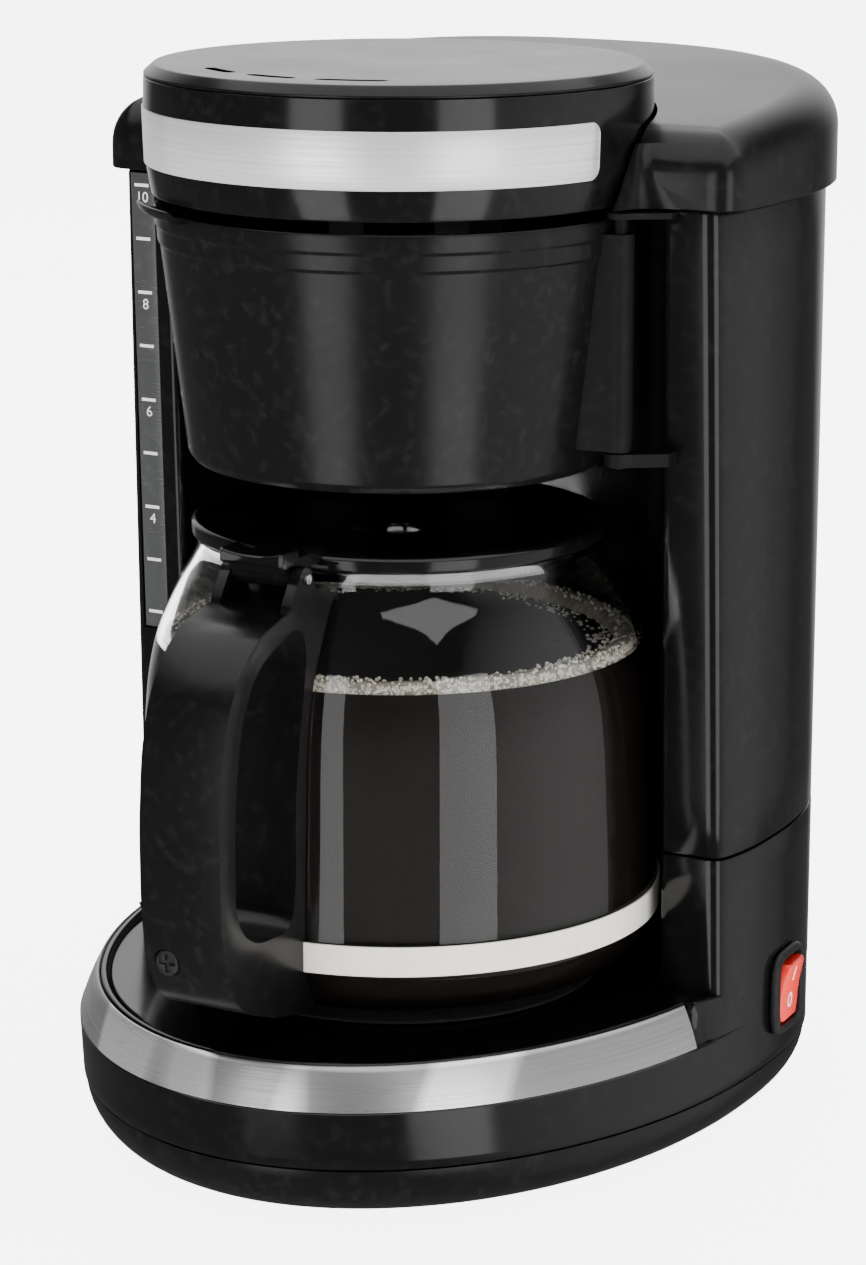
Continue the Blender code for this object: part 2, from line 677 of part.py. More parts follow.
def neck_rings(side):
    """Fillet that leads the cover's front face forward along the head; side is 1 for the right, -1 for the left."""
    levels = [(268.9, 12.0, 3.0), (271.5, 9.8, 3.0), (274.5, 7.6, 3.0), (278.0, 5.6, 3.3), (281.5, 4.2, 4.4),
              (285.5, 3.6, 7.6)]
    rings = []
    for z, reach, face in levels:
        tip = face - reach
        start = (math.sqrt(71.8 ** 2 - tip ** 2), tip)
        end = (71.5 + reach * 1.1, face + 0.05)
        ring = [(66.0, tip)] + corner_points(start, (72.6, face - 0.4), end, 5)
        ring += [(end[0], face + 6.0), (66.0, face + 6.0)]
        rings.append([(side * x * MM, y * MM, z * MM) for x, y in ring])
    return rings


def make_top_cover():
    """One cover over the whole tower, hinged at the middle of its back edge."""
    mover = joint_empty("tank_lid_axis", LID_AXIS)
    lid = loft("tank_lid", dome_rings(0.0, LID_TOP_Z, LID_LOW_Z), SATIN_BLACK)
    room = dome_rings(2.4 * MM, LID_TOP_Z - 2.4 * MM, LID_LOW_Z - 4.0 * MM)
    cut(lid, loft("cut_lid_room", room, None, collection=CUTTERS))
    for side in (-1, 1):
        join(lid, loft("join_neck_%d" % side, neck_rings(side), None, collection=CUTTERS))
    cut(lid, rod("cut_lid_head", (0, 0, 260), (0, 0, 310), 70.9, None, 48, collection=CUTTERS))
    tower = bpy.data.objects["tower_housing"]
    y = LID_AXIS.y / MM
    z = LID_AXIS.z / MM
    pitch = 7.2
    length = 6.9
    for k in range(-2, 3):
        middle = k * pitch
        if k % 2:
            low = middle - length / 2 - 0.3
            high = middle + length / 2 + 0.3
            cut(tower, box("cut_tower_notch_%d" % k, (low, y - 2.5, z - 2.5), (high, y + 4.0, z + 5), None,
                           collection=CUTTERS))
            join(lid, knuckle("join_lid_knuckle_%d" % k, middle, length, lid_knuckle_section()))
        else:
            join(tower, knuckle("join_tower_knuckle_%d" % k, middle, length, tower_knuckle_section()))
    hole = rod("cut_hinge_hole", (-18.2, y, z), (18.2, y, z), 1.25, None, 14, collection=CUTTERS)
    cut(lid, hole)
    cut(tower, hole)
    rod("lid_hinge_pin", (-17.6, y, z), (17.6, y, z), 0.95, STEEL, 14)
    place(lid, mover)


def lid_knuckle_section():
    """Section of a knuckle that hangs from the cover's back edge, as (behind the axis, above the axis)."""
    ring = []
    for degrees in range(180, 361, 20):
        a = math.radians(degrees)
        ring.append((KNUCKLE_RADIUS * math.cos(a), KNUCKLE_RADIUS * math.sin(a)))
    return ring + [(KNUCKLE_RADIUS, 3.6), (0.0, 3.6)]


def tower_knuckle_section():
    """Section of a knuckle that grows out of the tower's back wall."""
    ring = []
    for degrees in range(-90, 91, 20):
        a = math.radians(degrees)
        ring.append((KNUCKLE_RADIUS * math.cos(a), KNUCKLE_RADIUS * math.sin(a)))
    return ring + [(-2.2, KNUCKLE_RADIUS), (-2.2, -4.4), (-1.0, -4.4)]


def knuckle(name, middle, length, section):
    y = LID_AXIS.y / MM
    z = LID_AXIS.z / MM
    sides = [middle - length / 2, middle + length / 2]
    rings = [[(x * MM, (y + across) * MM, (z + up) * MM) for across, up in section] for x in sides]
    return loft(name, rings, None, collection=CUTTERS)


# ---------------------------------------------------------------- brew head

def make_head():
    wall = [(69.8, 301.2), (69.3, 276.0), (68.1, 269.3), (66.4, 269.3), (66.2, 270.8), (29.6, 270.8), (29.6, 273.0),
            (66.6, 273.0), (67.6, 301.2)]
    housing = revolve("head_housing", wall, GLOSS_BLACK, ring=True)
    deck = sweep_arc("join_deck", [(67.2, 268.7), (83.5, 268.7), (83.5, 270.9), (67.2, 270.9)], 98, 262, 14, None,
                     collection=CUTTERS)
    join(housing, deck)
    groove = [(69.0, 277.3), (72.0, 277.3), (72.0, 293.3), (69.0, 293.3)]
    cut(housing, sweep_arc("cut_band_groove", groove, -79.6, 79.6, 26, None, collection=CUTTERS))
    cut(housing, rod("cut_riser_hole", (90, 31, 279.5), (50, 17.1, 279.5), 4.6, None, 18, collection=CUTTERS))
    band = [(69.3, 277.7), (70.2, 277.7), (70.4, 292.9), (69.3, 292.9)]
    sweep_arc("head_trim_band", band, -79.0, 79.0, 26, BRUSHED)
    cap = revolve("head_cap", [(0, 304.6), (66.6, 304.6), (67.4, 304.4), (69.6, 302.0), (69.8, 301.5), (66.8, 301.5),
                               (66.8, 297.5), (65.2, 297.5), (65.2, 302.2), (0, 302.2)], SATIN_BLACK)
    slot = [(53.2, 298.0), (56.4, 298.0), (56.4, 309.0), (53.2, 309.0)]
    for number, middle in enumerate((-30.0, -6.5, 17.0)):
        cut(cap, sweep_arc("cut_vent_%d" % number, slot, middle - 9.0, middle + 9.0, 6, None, collection=CUTTERS))
    cup = [(0, 270.0), (27.6, 270.0), (27.6, 275.2), (32.5, 275.2), (33.0, 274.6), (33.0, 273.3), (29.2, 273.3),
           (29.2, 269.2), (28.4, 268.5), (0, 268.5)]
    shower = revolve("shower_head", cup, ALUMINIUM)
    holes = [(8.0, 4), (20.0, 8)]
    for radius, count in holes:
        for k in range(count):
            a = 2 * math.pi * k / count
            x = radius * math.cos(a)
            y = radius * math.sin(a)
            cut(shower, rod("cut_drip_%d_%d" % (radius, k), (x, y, 265), (x, y, 272), 1.1, None, 6,
                            collection=CUTTERS))


# ---------------------------------------------------------------- swing-out basket

def make_basket():
    mover = joint_empty("basket_axis", BASKET_PIVOT)
    wall = [(66.4, 266.0), (67.4, 265.2), (67.4, 261.0), (66.8, 260.0), (66.6, 256.0), (66.0, 255.4), (59.0, 197.4),
            (57.6, 195.4), (7.0, 195.4), (7.0, 193.4), (VALVE_BORE / MM, 193.4), (VALVE_BORE / MM, 197.2),
            (56.6, 197.2), (57.2, 198.4), (64.2, 255.0), (65.2, 261.0), (65.2, 266.0)]
    holder = revolve("basket_holder", wall, SATIN_BLACK, ring=True, mover=mover)
    lip = [(66.0, 264.4), (69.4, 264.4), (71.6, 265.4), (72.6, 267.6), (71.9, 268.2), (70.6, 266.9), (69.2, 266.2),
           (66.0, 266.0)]
    join(holder, sweep_arc("join_finger_lip", lip, -50.0, -29.0, 8, None, mover, CUTTERS))
    join(holder, loft("join_hinge_web", [web_ring(203.3, 57.6), web_ring(262.3, 64.5)], None, mover=mover,
                      collection=CUTTERS))
    bore = rod("cut_hinge_bore", (70, -3, 190), (70, -3, 270), 2.3, None, 20, mover=mover, collection=CUTTERS)
    cut(holder, bore)
    cup = [(63.0, 263.6), (63.4, 263.0), (61.8, 255.0), (53.6, 201.0), (12.0, 199.4), (12.0, 201.2), (52.0, 202.8),
           (60.4, 255.6), (61.6, 263.6)]
    revolve("filter_cup", cup, SATIN_BLACK, ring=True, mover=mover)
    rod("basket_hinge_pin", (70, -3, 198.4), (70, -3, 268.3), 1.95, STEEL, 20)
    valve_mover = joint_empty("drip_valve_axis", -BASKET_PIVOT + Vector((0.0, 0.0, 195.0)) * MM)
    valve_mover.parent = mover
    valve = [(0, 203.5), (2.2, 203.5), (6.2, 202.2), (6.2, 200.6), (2.4, 200.0), (2.2, 199.0), (2.2, 193.4),
             (3.7, 193.1), (3.7, 192.3), (3.0, 191.7), (0, 191.6)]
    stem = revolve("drip_valve", valve, SATIN_BLACK, steps=COARSE_STEPS)
    stem.parent = valve_mover
    stem.location = -valve_mover.location - mover.location
    revolve("drip_seal", [(6.4, 199.6), (6.6, 199.0), (6.6, 197.5), (4.2, 197.5), (4.2, 198.2), (3.2, 199.6)],
                   SILICONE, ring=True, mover=mover, steps=COARSE_STEPS)
    turns = 2.0
    spring = []
    steps = 24
    for k in range(steps + 1):
        a = 2 * math.pi * turns * k / steps
        spring.append((3.2 * math.cos(a), 3.2 * math.sin(a), 193.9 + 2.9 * k / steps))
    place(tube("drip_spring", spring, 0.4, None, STEEL, bevel=0), mover)


def web_ring(z, reach):
    """Section of the web that carries the hinge bore on the basket's right side."""
    ring = [(reach * MM, 1.5 * MM, z * MM), (reach * MM, -7.5 * MM, z * MM)]
    for degrees in range(-100, 101, 40):
        a = math.radians(degrees)
        ring.append((BASKET_PIVOT.x + 3.8 * MM * math.cos(a), BASKET_PIVOT.y + 3.8 * MM * math.sin(a), z * MM))
    return ring


# ---------------------------------------------------------------- carafe

GLASS_OUTER = [(57.3, 173.2), (57.0, 170.0), (58.6, 166.0), (62.0, 160.0), (65.8, 152.0), (68.9, 144.0),
               (71.2, 133.0), (72.4, 120.0), (73.0, 105.0), (73.5, 88.0), (73.7, 70.0), (72.6, 63.0),
               (69.4, 57.0), (63.5, 52.6), (56.0, 51.0), (49.0, 50.8)]


def make_carafe():
    mover = joint_empty("carafe_slide", Vector((0.0, 0.0, 51.0)) * MM)
    wall = 2.4
    inner = [(r - wall, z + (wall if z < 60 else 0.0)) for r, z in GLASS_OUTER]
    inner[0] = (GLASS_OUTER[0][0] - wall, 173.2)
    profile = [(0, 53.6)] + inner[::-1] + GLASS_OUTER + [(0, 51.4)]
    revolve("carafe_glass", profile, GLASS, mover=mover)
    band = [(74.9, 74.8), (74.9, 66.2), (74.1, 66.2), (74.1, 74.8)]
    revolve("carafe_band", band, STEEL, ring=True, mover=mover)
    make_handle(mover)
    make_jug_lid(mover)


def handle_outline():
    """Side view of the handle as (reach, z) in millimetres, reach measured towards the front."""
    outer = [(60.0, 170.5), (72.0, 168.4), (84.0, 166.6), (97.0, 162.0), (106.5, 152.5), (112.0, 139.0),
             (114.4, 122.0), (115.0, 104.0), (114.2, 87.0), (111.4, 74.0), (105.0, 65.0), (95.0, 60.0),
             (84.0, 56.6), (74.0, 55.6), (66.0, 57.0), (64.0, 70.0), (63.0, 110.0), (58.0, 150.0)]
    gap = [(74.5, 161.5), (84.5, 160.0), (94.5, 155.4), (101.2, 147.0), (105.2, 134.0), (107.2, 118.0),
           (107.6, 103.0), (106.0, 89.0), (100.0, 82.6), (90.0, 80.4), (81.0, 81.6), (78.0, 90.0),
           (77.4, 108.0), (75.6, 128.0), (72.0, 148.0), (71.4, 156.0)]
    return outer, gap


def make_handle(mover):
    half_width = 12.5
    curve = bpy.data.curves.new("handle_curve", "CURVE")
    curve.dimensions = "2D"
    curve.fill_mode = "BOTH"
    curve.extrude = half_width * MM
    curve.resolution_u = 2
    for outline in handle_outline():
        spline = curve.splines.new("BEZIER")
        spline.bezier_points.add(len(outline) - 1)
        spline.use_cyclic_u = True
        for target, (reach, z) in zip(spline.bezier_points, outline):
            target.co = (reach * MM, z * MM, 0.0)
            target.handle_left_type = "AUTO"
            target.handle_right_type = "AUTO"
    flat = bpy.data.objects.new("handle_flat", curve)
    CUTTERS.objects.link(flat)
    flat.matrix_world = Matrix(((0, 0, 1, 0), (-1, 0, 0, 0), (0, 1, 0, 0), (0, 0, 0, 1)))
    bpy.context.view_layer.update()
    mesh = bpy.data.meshes.new_from_object(flat.evaluated_get(bpy.context.evaluated_depsgraph_get()))
    mesh.transform(flat.matrix_world)
    bpy.data.objects.remove(flat, do_unlink=True)
    bm = bmesh.new()
    bm.from_mesh(mesh)
    bpy.data.meshes.remove(mesh)
    bmesh.ops.remove_doubles(bm, verts=bm.verts, dist=0.00001)
    handle = finish_mesh("carafe_handle", bm, SATIN_BLACK, mover)
    handle.data.materials.clear()
    handle.data.materials.append(SATIN_BLACK)
    add_bevel(handle, 1.6, 1)
    for side in (-1, 1):
        tag = "left" if side < 0 else "right"
        join(handle, ear("join_ear_" + tag, side, mover))
    cut(handle, revolve("cut_jug_room", [(0, 200)] + [(r + 0.4, z) for r, z in GLASS_OUTER] + [(0, 49)], None,
                        mover=mover, collection=CUTTERS))
    cut(handle, revolve("cut_band_room", [(0, 75.3), (75.3, 75.3), (75.3, 65.7), (0, 65.7)], None, mover=mover,
                        collection=CUTTERS))
    axis = JUG_LID_AXIS / MM
    cut(handle, rod("cut_ear_hole", (-20, axis.y, axis.z), (20, axis.y, axis.z), 1.6, None, 16, mover=mover,
                    collection=CUTTERS))
    rod("carafe_hinge_pin", (-13.4, axis.y, axis.z), (13.4, axis.y, axis.z), 1.3, STEEL, 16, mover=mover)
    cut(handle, rod("cut_screw_seat", (-6, -130, 77.3), (-6, -110.2, 77.3), 3.9, None, 20, mover=mover,
                    collection=CUTTERS))
    rod("handle_screw", (-6, -112.6, 77.3), (-6, -110.6, 77.3), 3.4, STEEL, 20, mover=mover)


def ear(name, side, mover):
    """One of the two ears on top of the handle that hold the lid's hinge pin."""
    axis = JUG_LID_AXIS / MM
    shape = [(-62.0, 166.0), (-80.0, 164.5), (-79.0, 168.5), (-75.2, 174.2)]
    for degrees in range(10, 171, 40):
        a = math.radians(degrees)
        shape.append((axis.y - 3.2 * math.cos(a), axis.z + 3.2 * math.sin(a)))
    shape.append((-65.0, 170.0))
    sides = [side * 9.4, side * 12.4]
    rings = [[(x * MM, y * MM, z * MM) for y, z in shape] for x in sides]
    return loft(name, rings, None, mover=mover, collection=CUTTERS)


def make_jug_lid(carafe):
    lid_mover = joint_empty("jug_lid_axis", Vector((0.0, 0.0, 0.0)))
    lid_mover.parent = carafe
    lid_mover.location = JUG_LID_AXIS - carafe.location

    def hang(obj):
        obj.parent = lid_mover
        obj.location = -JUG_LID_AXIS
        return obj

    dish = [(57.2, 178.2), (58.5, 177.4), (58.5, 174.2), (57.9, 173.7), (54.2, 173.7), (54.0, 170.2), (52.6, 170.2),
            (52.4, 172.4), (8.0, 172.4), (8.0, 170.6), (6.4, 170.6), (6.4, 173.9), (14.0, 174.9), (51.0, 174.9),
            (53.0, 175.8), (54.6, 177.6), (55.6, 178.2)]
    lid = hang(revolve("carafe_lid", dish, SATIN_BLACK, ring=True))
    rows = []
    half_rows = [(0.0, 3.6, 181.2), (4.0, 3.9, 181.5), (7.0, 4.6, 182.3), (9.0, 5.0, 182.8), (9.8, 4.2, 182.6)]
    for x, depth, top in [(-x, depth, top) for x, depth, top in half_rows[:0:-1]] + half_rows:
        rows.append(tab_section(x, depth, top))
    tab = loft("join_thumb_tab", rows, None, collection=CUTTERS)
    arm = box("join_tab_arm", (-8.6, -76, 176.4), (8.6, -55.6, 179.6), None, collection=CUTTERS)
    barrel = rod("join_tab_barrel", (-8.9, JUG_LID_AXIS.y / MM, JUG_LID_AXIS.z / MM),
                 (8.9, JUG_LID_AXIS.y / MM, JUG_LID_AXIS.z / MM), 3.0, None, 20, collection=CUTTERS)
    spout = box("join_spout_guard", (-9, 50, 174.4), (9, 57.5, 176.6), None, collection=CUTTERS)
    for extra in (tab, arm, barrel, spout):
        hang(extra)
        join(lid, extra)
    hole = rod("cut_tab_hole", (-20, JUG_LID_AXIS.y / MM, JUG_LID_AXIS.z / MM),
               (20, JUG_LID_AXIS.y / MM, JUG_LID_AXIS.z / MM), 1.6, None, 16, collection=CUTTERS)
    hang(hole)
    cut(lid, hole)


def tab_section(x, depth, top):
    """Section of the saddle-shaped thumb tab at this x; it is deepest and tallest near its two ends."""
    middle = -74.4
    low = 178.4
    soft = 0.9
    shape = [(middle + depth, low + soft), (middle + depth - soft, low), (middle - depth + soft, low),
             (middle - depth, low + soft), (middle - depth, top - soft), (middle - depth + soft, top),
             (middle + depth - soft, top), (middle + depth, top - soft)]
    return [(x * MM, y * MM, z * MM) for y, z in shape]


# ---------------------------------------------------------------- assembly

make_bottom_cover()
make_feet_and_screws()
make_base_housing()
make_base_band()
make_hot_plate()
make_heater()
make_water_path()
make_gland()
make_switch()
make_tower()
make_gauge_window()
make_tank()
make_top_cover()
make_head()
make_basket()
make_carafe()
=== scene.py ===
"""Looks of the drip coffee maker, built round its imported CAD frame.

Shapes are given in millimetres round the brew axis, the vertical through the middle of head, basket and
carafe. world() moves them into the frame's metres. The machine faces -Y.
"""

import json
import math
import random

import bmesh
import bpy
from mathutils import Matrix, Vector

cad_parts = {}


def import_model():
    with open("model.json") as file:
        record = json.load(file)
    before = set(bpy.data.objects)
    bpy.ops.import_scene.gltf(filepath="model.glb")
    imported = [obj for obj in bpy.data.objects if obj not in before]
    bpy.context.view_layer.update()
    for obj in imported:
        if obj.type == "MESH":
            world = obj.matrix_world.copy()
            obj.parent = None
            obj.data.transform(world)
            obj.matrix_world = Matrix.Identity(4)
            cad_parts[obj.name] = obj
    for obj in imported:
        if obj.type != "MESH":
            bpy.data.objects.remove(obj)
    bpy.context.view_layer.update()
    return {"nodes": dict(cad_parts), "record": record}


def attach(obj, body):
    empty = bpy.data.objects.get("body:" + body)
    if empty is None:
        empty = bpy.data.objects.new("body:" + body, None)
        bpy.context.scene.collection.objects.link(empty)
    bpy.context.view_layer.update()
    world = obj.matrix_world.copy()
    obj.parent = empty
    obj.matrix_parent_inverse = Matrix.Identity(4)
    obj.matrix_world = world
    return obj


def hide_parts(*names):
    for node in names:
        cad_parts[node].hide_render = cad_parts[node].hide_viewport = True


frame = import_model()

MM = 0.001
BREW_Y = -8.65

# Plan of the housing
HALF_WIDTH = 99.4
WIDEST_Y = 35.0
BACK_REACH = 94.5
BOWL_REACH = 134.4
BOWL_FLARE = 2.0
SHOULDER_REACH = 65.7
BACK_POWER = 2.5
BOWL_POWER = 2.0
RECESS_RADIUS = 78.75
WALL = 2.5
LID_LIP = 2.8
LID_SHOULDER_REACH = 95.7
LID_CORNER = 5.0

# Heights
FOOT_HEIGHT = 2.8
SEAM_Z = 18.9
BAND_LOW_Z = 35.9
DECK_Z = 46.4
COLUMN_TOP_Z = 87.3
TOWER_LOW_Z = 87.8
TOWER_TOP_Z = 268.3
LID_LOW_Z = 268.8
LID_TOP_Z = 288.6
LID_RISE = 0.105
FACE_Y_TOP = 5.0
FACE_LEAN = 0.0277

# Moving parts
BASKET_PIVOT = (70.0, -3.0)
LID_AXIS = (130.2, 266.0)
KNUCKLE_RADIUS = 2.1
KNUCKLE_PITCH = 7.2
KNUCKLE_LENGTH = 6.9
JUG_LID_AXIS = (-71.0, 174.8)
SWITCH_CENTRE = Vector((99.0, 50.0, 39.0))
SWITCH_TURN = math.radians(3.8)

TURNED = 160


def world(point):
    return Vector((point[0] * MM, (point[1] + BREW_Y) * MM, point[2] * MM))


# ---------------------------------------------------------------- materials

def new_material(name):
    made = bpy.data.materials.new(name)
    made.use_nodes = True
    return made, made.node_tree, made.node_tree.nodes["Principled BSDF"]


def add_node(tree, kind, **settings):
    node = tree.nodes.new(kind)
    for key, value in settings.items():
        if key in node.inputs:
            node.inputs[key].default_value = value
        else:
            setattr(node, key, value)
    return node


def noise_of(tree, scale, detail=3.0, stretch=(1.0, 1.0, 1.0)):
    coords = add_node(tree, "ShaderNodeTexCoord")
    mapping = add_node(tree, "ShaderNodeMapping")
    mapping.inputs["Scale"].default_value = stretch
    pattern = add_node(tree, "ShaderNodeTexNoise", Scale=scale, Detail=detail)
    tree.links.new(coords.outputs["Object"], mapping.inputs["Vector"])
    tree.links.new(mapping.outputs["Vector"], pattern.inputs["Vector"])
    return pattern.outputs["Fac"]


def ranged(tree, value, low, high, from_low=0.3, from_high=0.7):
    remap = add_node(tree, "ShaderNodeMapRange")
    remap.inputs["From Min"].default_value = from_low
    remap.inputs["From Max"].default_value = from_high
    remap.inputs["To Min"].default_value = low
    remap.inputs["To Max"].default_value = high
    tree.links.new(value, remap.inputs["Value"])
    return remap.outputs["Result"]


def mixed_colour(tree, factor, first, second):
    mix = add_node(tree, "ShaderNodeMix", data_type="RGBA")
    for socket, value in ((6, first), (7, second)):
        mix.inputs[socket].default_value = (*value, 1.0)
    tree.links.new(factor, mix.inputs[0])
    return mix.outputs[2]


def summed(tree, first, second, weight):
    total = add_node(tree, "ShaderNodeMath", operation="MULTIPLY_ADD")
    total.inputs[1].default_value = weight
    tree.links.new(second, total.inputs[0])
    tree.links.new(first, total.inputs[2])
    return total.outputs[0]


def bumped(tree, bsdf, height, strength, distance):
    bump = add_node(tree, "ShaderNodeBump", Strength=strength, Distance=distance)
    tree.links.new(height, bump.inputs["Height"])
    tree.links.new(bump.outputs["Normal"], bsdf.inputs["Normal"])


def plastic(name, colour, dusty, rough, spread, grain, depth, wave=0.0, specular=0.5):
    """Moulded plastic: patchy sheen, faint scratches, a fine surface grain and long shallow waves."""
    made, tree, bsdf = new_material(name)
    patches = noise_of(tree, 22.0, 4.0)
    scratches = noise_of(tree, 160.0, 6.0, (1.0, 5.0, 14.0))
    sheen = summed(tree, patches, scratches, 0.25)
    tree.links.new(ranged(tree, sheen, rough - spread, rough + spread, 0.4, 0.85), bsdf.inputs["Roughness"])
    dust = ranged(tree, noise_of(tree, 310.0, 8.0), 0.0, 1.0, 0.52, 0.78)
    tree.links.new(mixed_colour(tree, dust, colour, dusty), bsdf.inputs["Base Color"])
    fine = noise_of(tree, grain, 2.0)
    height = summed(tree, fine, noise_of(tree, 9.0, 1.0), wave)
    bumped(tree, bsdf, height, 1.0, depth * MM)
    bsdf.inputs["Specular IOR Level"].default_value = specular
    return made


def brushed(name, light, dark, rough, stretch=(2.0, 2.0, 260.0), scale=9.0, metallic=1.0, patch=0.0):
    """Metal with fine lines along the horizontal; patch adds broad duller areas."""
    made, tree, bsdf = new_material(name)
    lines = noise_of(tree, scale, 5.0, stretch)
    tint = ranged(tree, lines, 0.0, 1.0, 0.35, 0.65)
    if patch:
        broad = ranged(tree, noise_of(tree, 34.0, 0.0, (1.0, 0.25, 0.1)), 0.0, patch, 0.49, 0.54)
        tint = summed(tree, broad, tint, 1.0 - patch)
    tree.links.new(mixed_colour(tree, tint, light, dark), bsdf.inputs["Base Color"])
    sheen = summed(tree, lines, noise_of(tree, 30.0, 3.0), 0.3)
    tree.links.new(ranged(tree, sheen, rough - 0.06, rough + 0.08, 0.4, 0.9), bsdf.inputs["Roughness"])
    bumped(tree, bsdf, lines, 0.35, 0.03 * MM)
    bsdf.inputs["Metallic"].default_value = metallic
    return made


def clear(name, colour, rough, ior, weight, wave):
    """Glass or clear plastic with slow ripples and faint smears."""
    made, tree, bsdf = new_material(name)
    smear = noise_of(tree, 18.0, 5.0, (1.0, 1.0, 0.4))
    tree.links.new(ranged(tree, smear, rough, rough + 0.05, 0.5, 0.75), bsdf.inputs["Roughness"])
    faint = tuple(c * 0.97 for c in colour)
    tree.links.new(mixed_colour(tree, smear, colour, faint), bsdf.inputs["Base Color"])
    bumped(tree, bsdf, noise_of(tree, 14.0, 1.0), 0.6, wave * MM)
    bsdf.inputs["Transmission Weight"].default_value = weight
    bsdf.inputs["IOR"].default_value = ior
    bsdf.inputs["Specular IOR Level"].default_value = 0.06
    return made


def foam_material(name, light, dark):
    made, tree, bsdf = new_material(name)
    shade = ranged(tree, noise_of(tree, 420.0, 3.0), 0.0, 1.0)
    tree.links.new(mixed_colour(tree, shade, light, dark), bsdf.inputs["Base Color"])
    tree.links.new(ranged(tree, noise_of(tree, 90.0), 0.18, 0.4), bsdf.inputs["Roughness"])
    bsdf.inputs["Subsurface Weight"].default_value = 0.3
    bsdf.inputs["Subsurface Radius"].default_value = (0.004, 0.003, 0.002)
    return made


def grey(value):
    return (value, value, value)


# plastic: name, colour, dust, roughness and its spread, grain, depth in mm, wave, specular
MATERIALS = {
    "gloss_black": plastic("gloss_black_plastic", (0.0022, 0.0022, 0.0024), grey(0.005), 0.13, 0.035,
                           700.0, 0.004, 0.6, 0.4),
    "satin_black": plastic("satin_black_plastic", (0.0026, 0.0026, 0.0027), grey(0.006), 0.23, 0.04,
                           1900.0, 0.0025, 0.35, 0.28),
    "matt_black": plastic("matt_black_plastic", grey(0.006), (0.012, 0.012, 0.0115), 0.42, 0.06,
                          1600.0, 0.014, 0.0, 0.3),
    "red_plastic": plastic("red_plastic", (0.55, 0.020, 0.012), (0.58, 0.035, 0.025), 0.22, 0.04,
                           900.0, 0.004),
    "smoked_window": plastic("smoked_window", (0.030, 0.031, 0.032), (0.040, 0.041, 0.041), 0.26, 0.05,
                             800.0, 0.006),
    "tank_plastic": plastic("tank_plastic", (0.34, 0.35, 0.35), (0.40, 0.40, 0.39), 0.42, 0.06,
                            900.0, 0.010),
    "silicone": plastic("silicone", (0.30, 0.29, 0.27), (0.36, 0.35, 0.32), 0.5, 0.06, 700.0, 0.012),
    "rubber": plastic("black_rubber", grey(0.008), (0.03, 0.029, 0.028), 0.72, 0.08, 1200.0, 0.03),
    "brushed_steel": brushed("brushed_steel_trim", grey(0.92), (0.34, 0.34, 0.345), 0.31,
                             metallic=0.88, patch=0.85),
    "steel": brushed("plain_steel", (0.72, 0.71, 0.69), (0.62, 0.61, 0.60), 0.27,
                     (30.0, 30.0, 30.0), 12.0),
    "aluminium": brushed("satin_aluminium", (0.74, 0.74, 0.75), (0.62, 0.62, 0.63), 0.38,
                         (24.0, 24.0, 40.0), 10.0),
    "glass": clear("clear_glass", (0.985, 0.995, 0.99), 0.0, 1.47, 1.0, 0.05),
}
HEAD_STEEL = brushed("brushed_steel_head", grey(0.92), (0.66, 0.66, 0.665), 0.33, metallic=0.75, patch=0.3)
# Painted reflection: the steel strap gets a flat pale cream colour that stands in for its bright reflection
# of the surroundings.
STRAP_PAINTED_REFLECTION = plastic("strap_painted_reflection", (0.60, 0.57, 0.51), (0.54, 0.51, 0.46), 0.34, 0.05, 500.0, 0.006)
# Painted shade: a dull near-black with little specular for the hinge lugs, web and steel pin. It stands in
# for the shade in the gap between basket and tower. The lugs and web are black plastic, but the pin's black
# is painted shade only.
HINGE_PAINTED_SHADE = plastic("hinge_painted_shade", (0.0035, 0.0035, 0.0036), grey(0.006), 0.5, 0.06,
                      1200.0, 0.01, 0.0, 0.12)
INK = plastic("white_ink", (0.50, 0.50, 0.49), (0.42, 0.42, 0.41), 0.5, 0.05, 900.0, 0.004)
COFFEE = plastic("coffee", (0.0060, 0.0042, 0.0034), (0.0080, 0.0058, 0.0046), 0.30, 0.05,
                 60.0, 0.001, 0.0, 0.04)
FOAM = foam_material("coffee_foam", (0.66, 0.64, 0.58), (0.46, 0.43, 0.36))
WET_FOAM = foam_material("wet_foam", (0.30, 0.27, 0.22), (0.20, 0.17, 0.13))

SLOT_OF = {entry["node"]: entry["material_slot"] for entry in frame["record"]["subparts"]}


def dress_cad_nodes():
    for name, node in frame["nodes"].items():
        finish = MATERIALS[SLOT_OF[name]]
        for slot in node.material_slots:
            slot.material = finish
        if not node.material_slots:
            node.data.materials.append(finish)


# ---------------------------------------------------------------- mesh building

def collect(name, bm, finish, angle=32.0):
    bmesh.ops.remove_doubles(bm, verts=bm.verts, dist=0.002 * MM)
    bmesh.ops.recalc_face_normals(bm, faces=bm.faces)
    mesh = bpy.data.meshes.new(name)
    bm.to_mesh(mesh)
    bm.free()
    mesh.shade_smooth()
    mesh.set_sharp_from_angle(angle=math.radians(angle))
    obj = bpy.data.objects.new(name, mesh)
    bpy.context.scene.collection.objects.link(obj)
    if finish is not None:
        mesh.materials.append(finish)
    return obj


def skin(name, rings, finish, loop=False, closed=True, angle=32.0):
    """Faces between rings of points in millimetres.

    closed joins each ring's two ends, and loop joins the last ring to the first.
    """
    bm = bmesh.new()
    rows = [[bm.verts.new(world(point)) for point in ring] for ring in rings]
    count = len(rows[0])
    pairs = list(zip(rows, rows[1:]))
    if loop:
        pairs.append((rows[-1], rows[0]))
    for low, high in pairs:
        for i in range(count if closed else count - 1):
            j = (i + 1) % count
            bm.faces.new((low[i], low[j], high[j], high[i]))
    if closed and not loop:
        bm.faces.new(rows[0])
        bm.faces.new(rows[-1])
    return collect(name, bm, finish, angle)


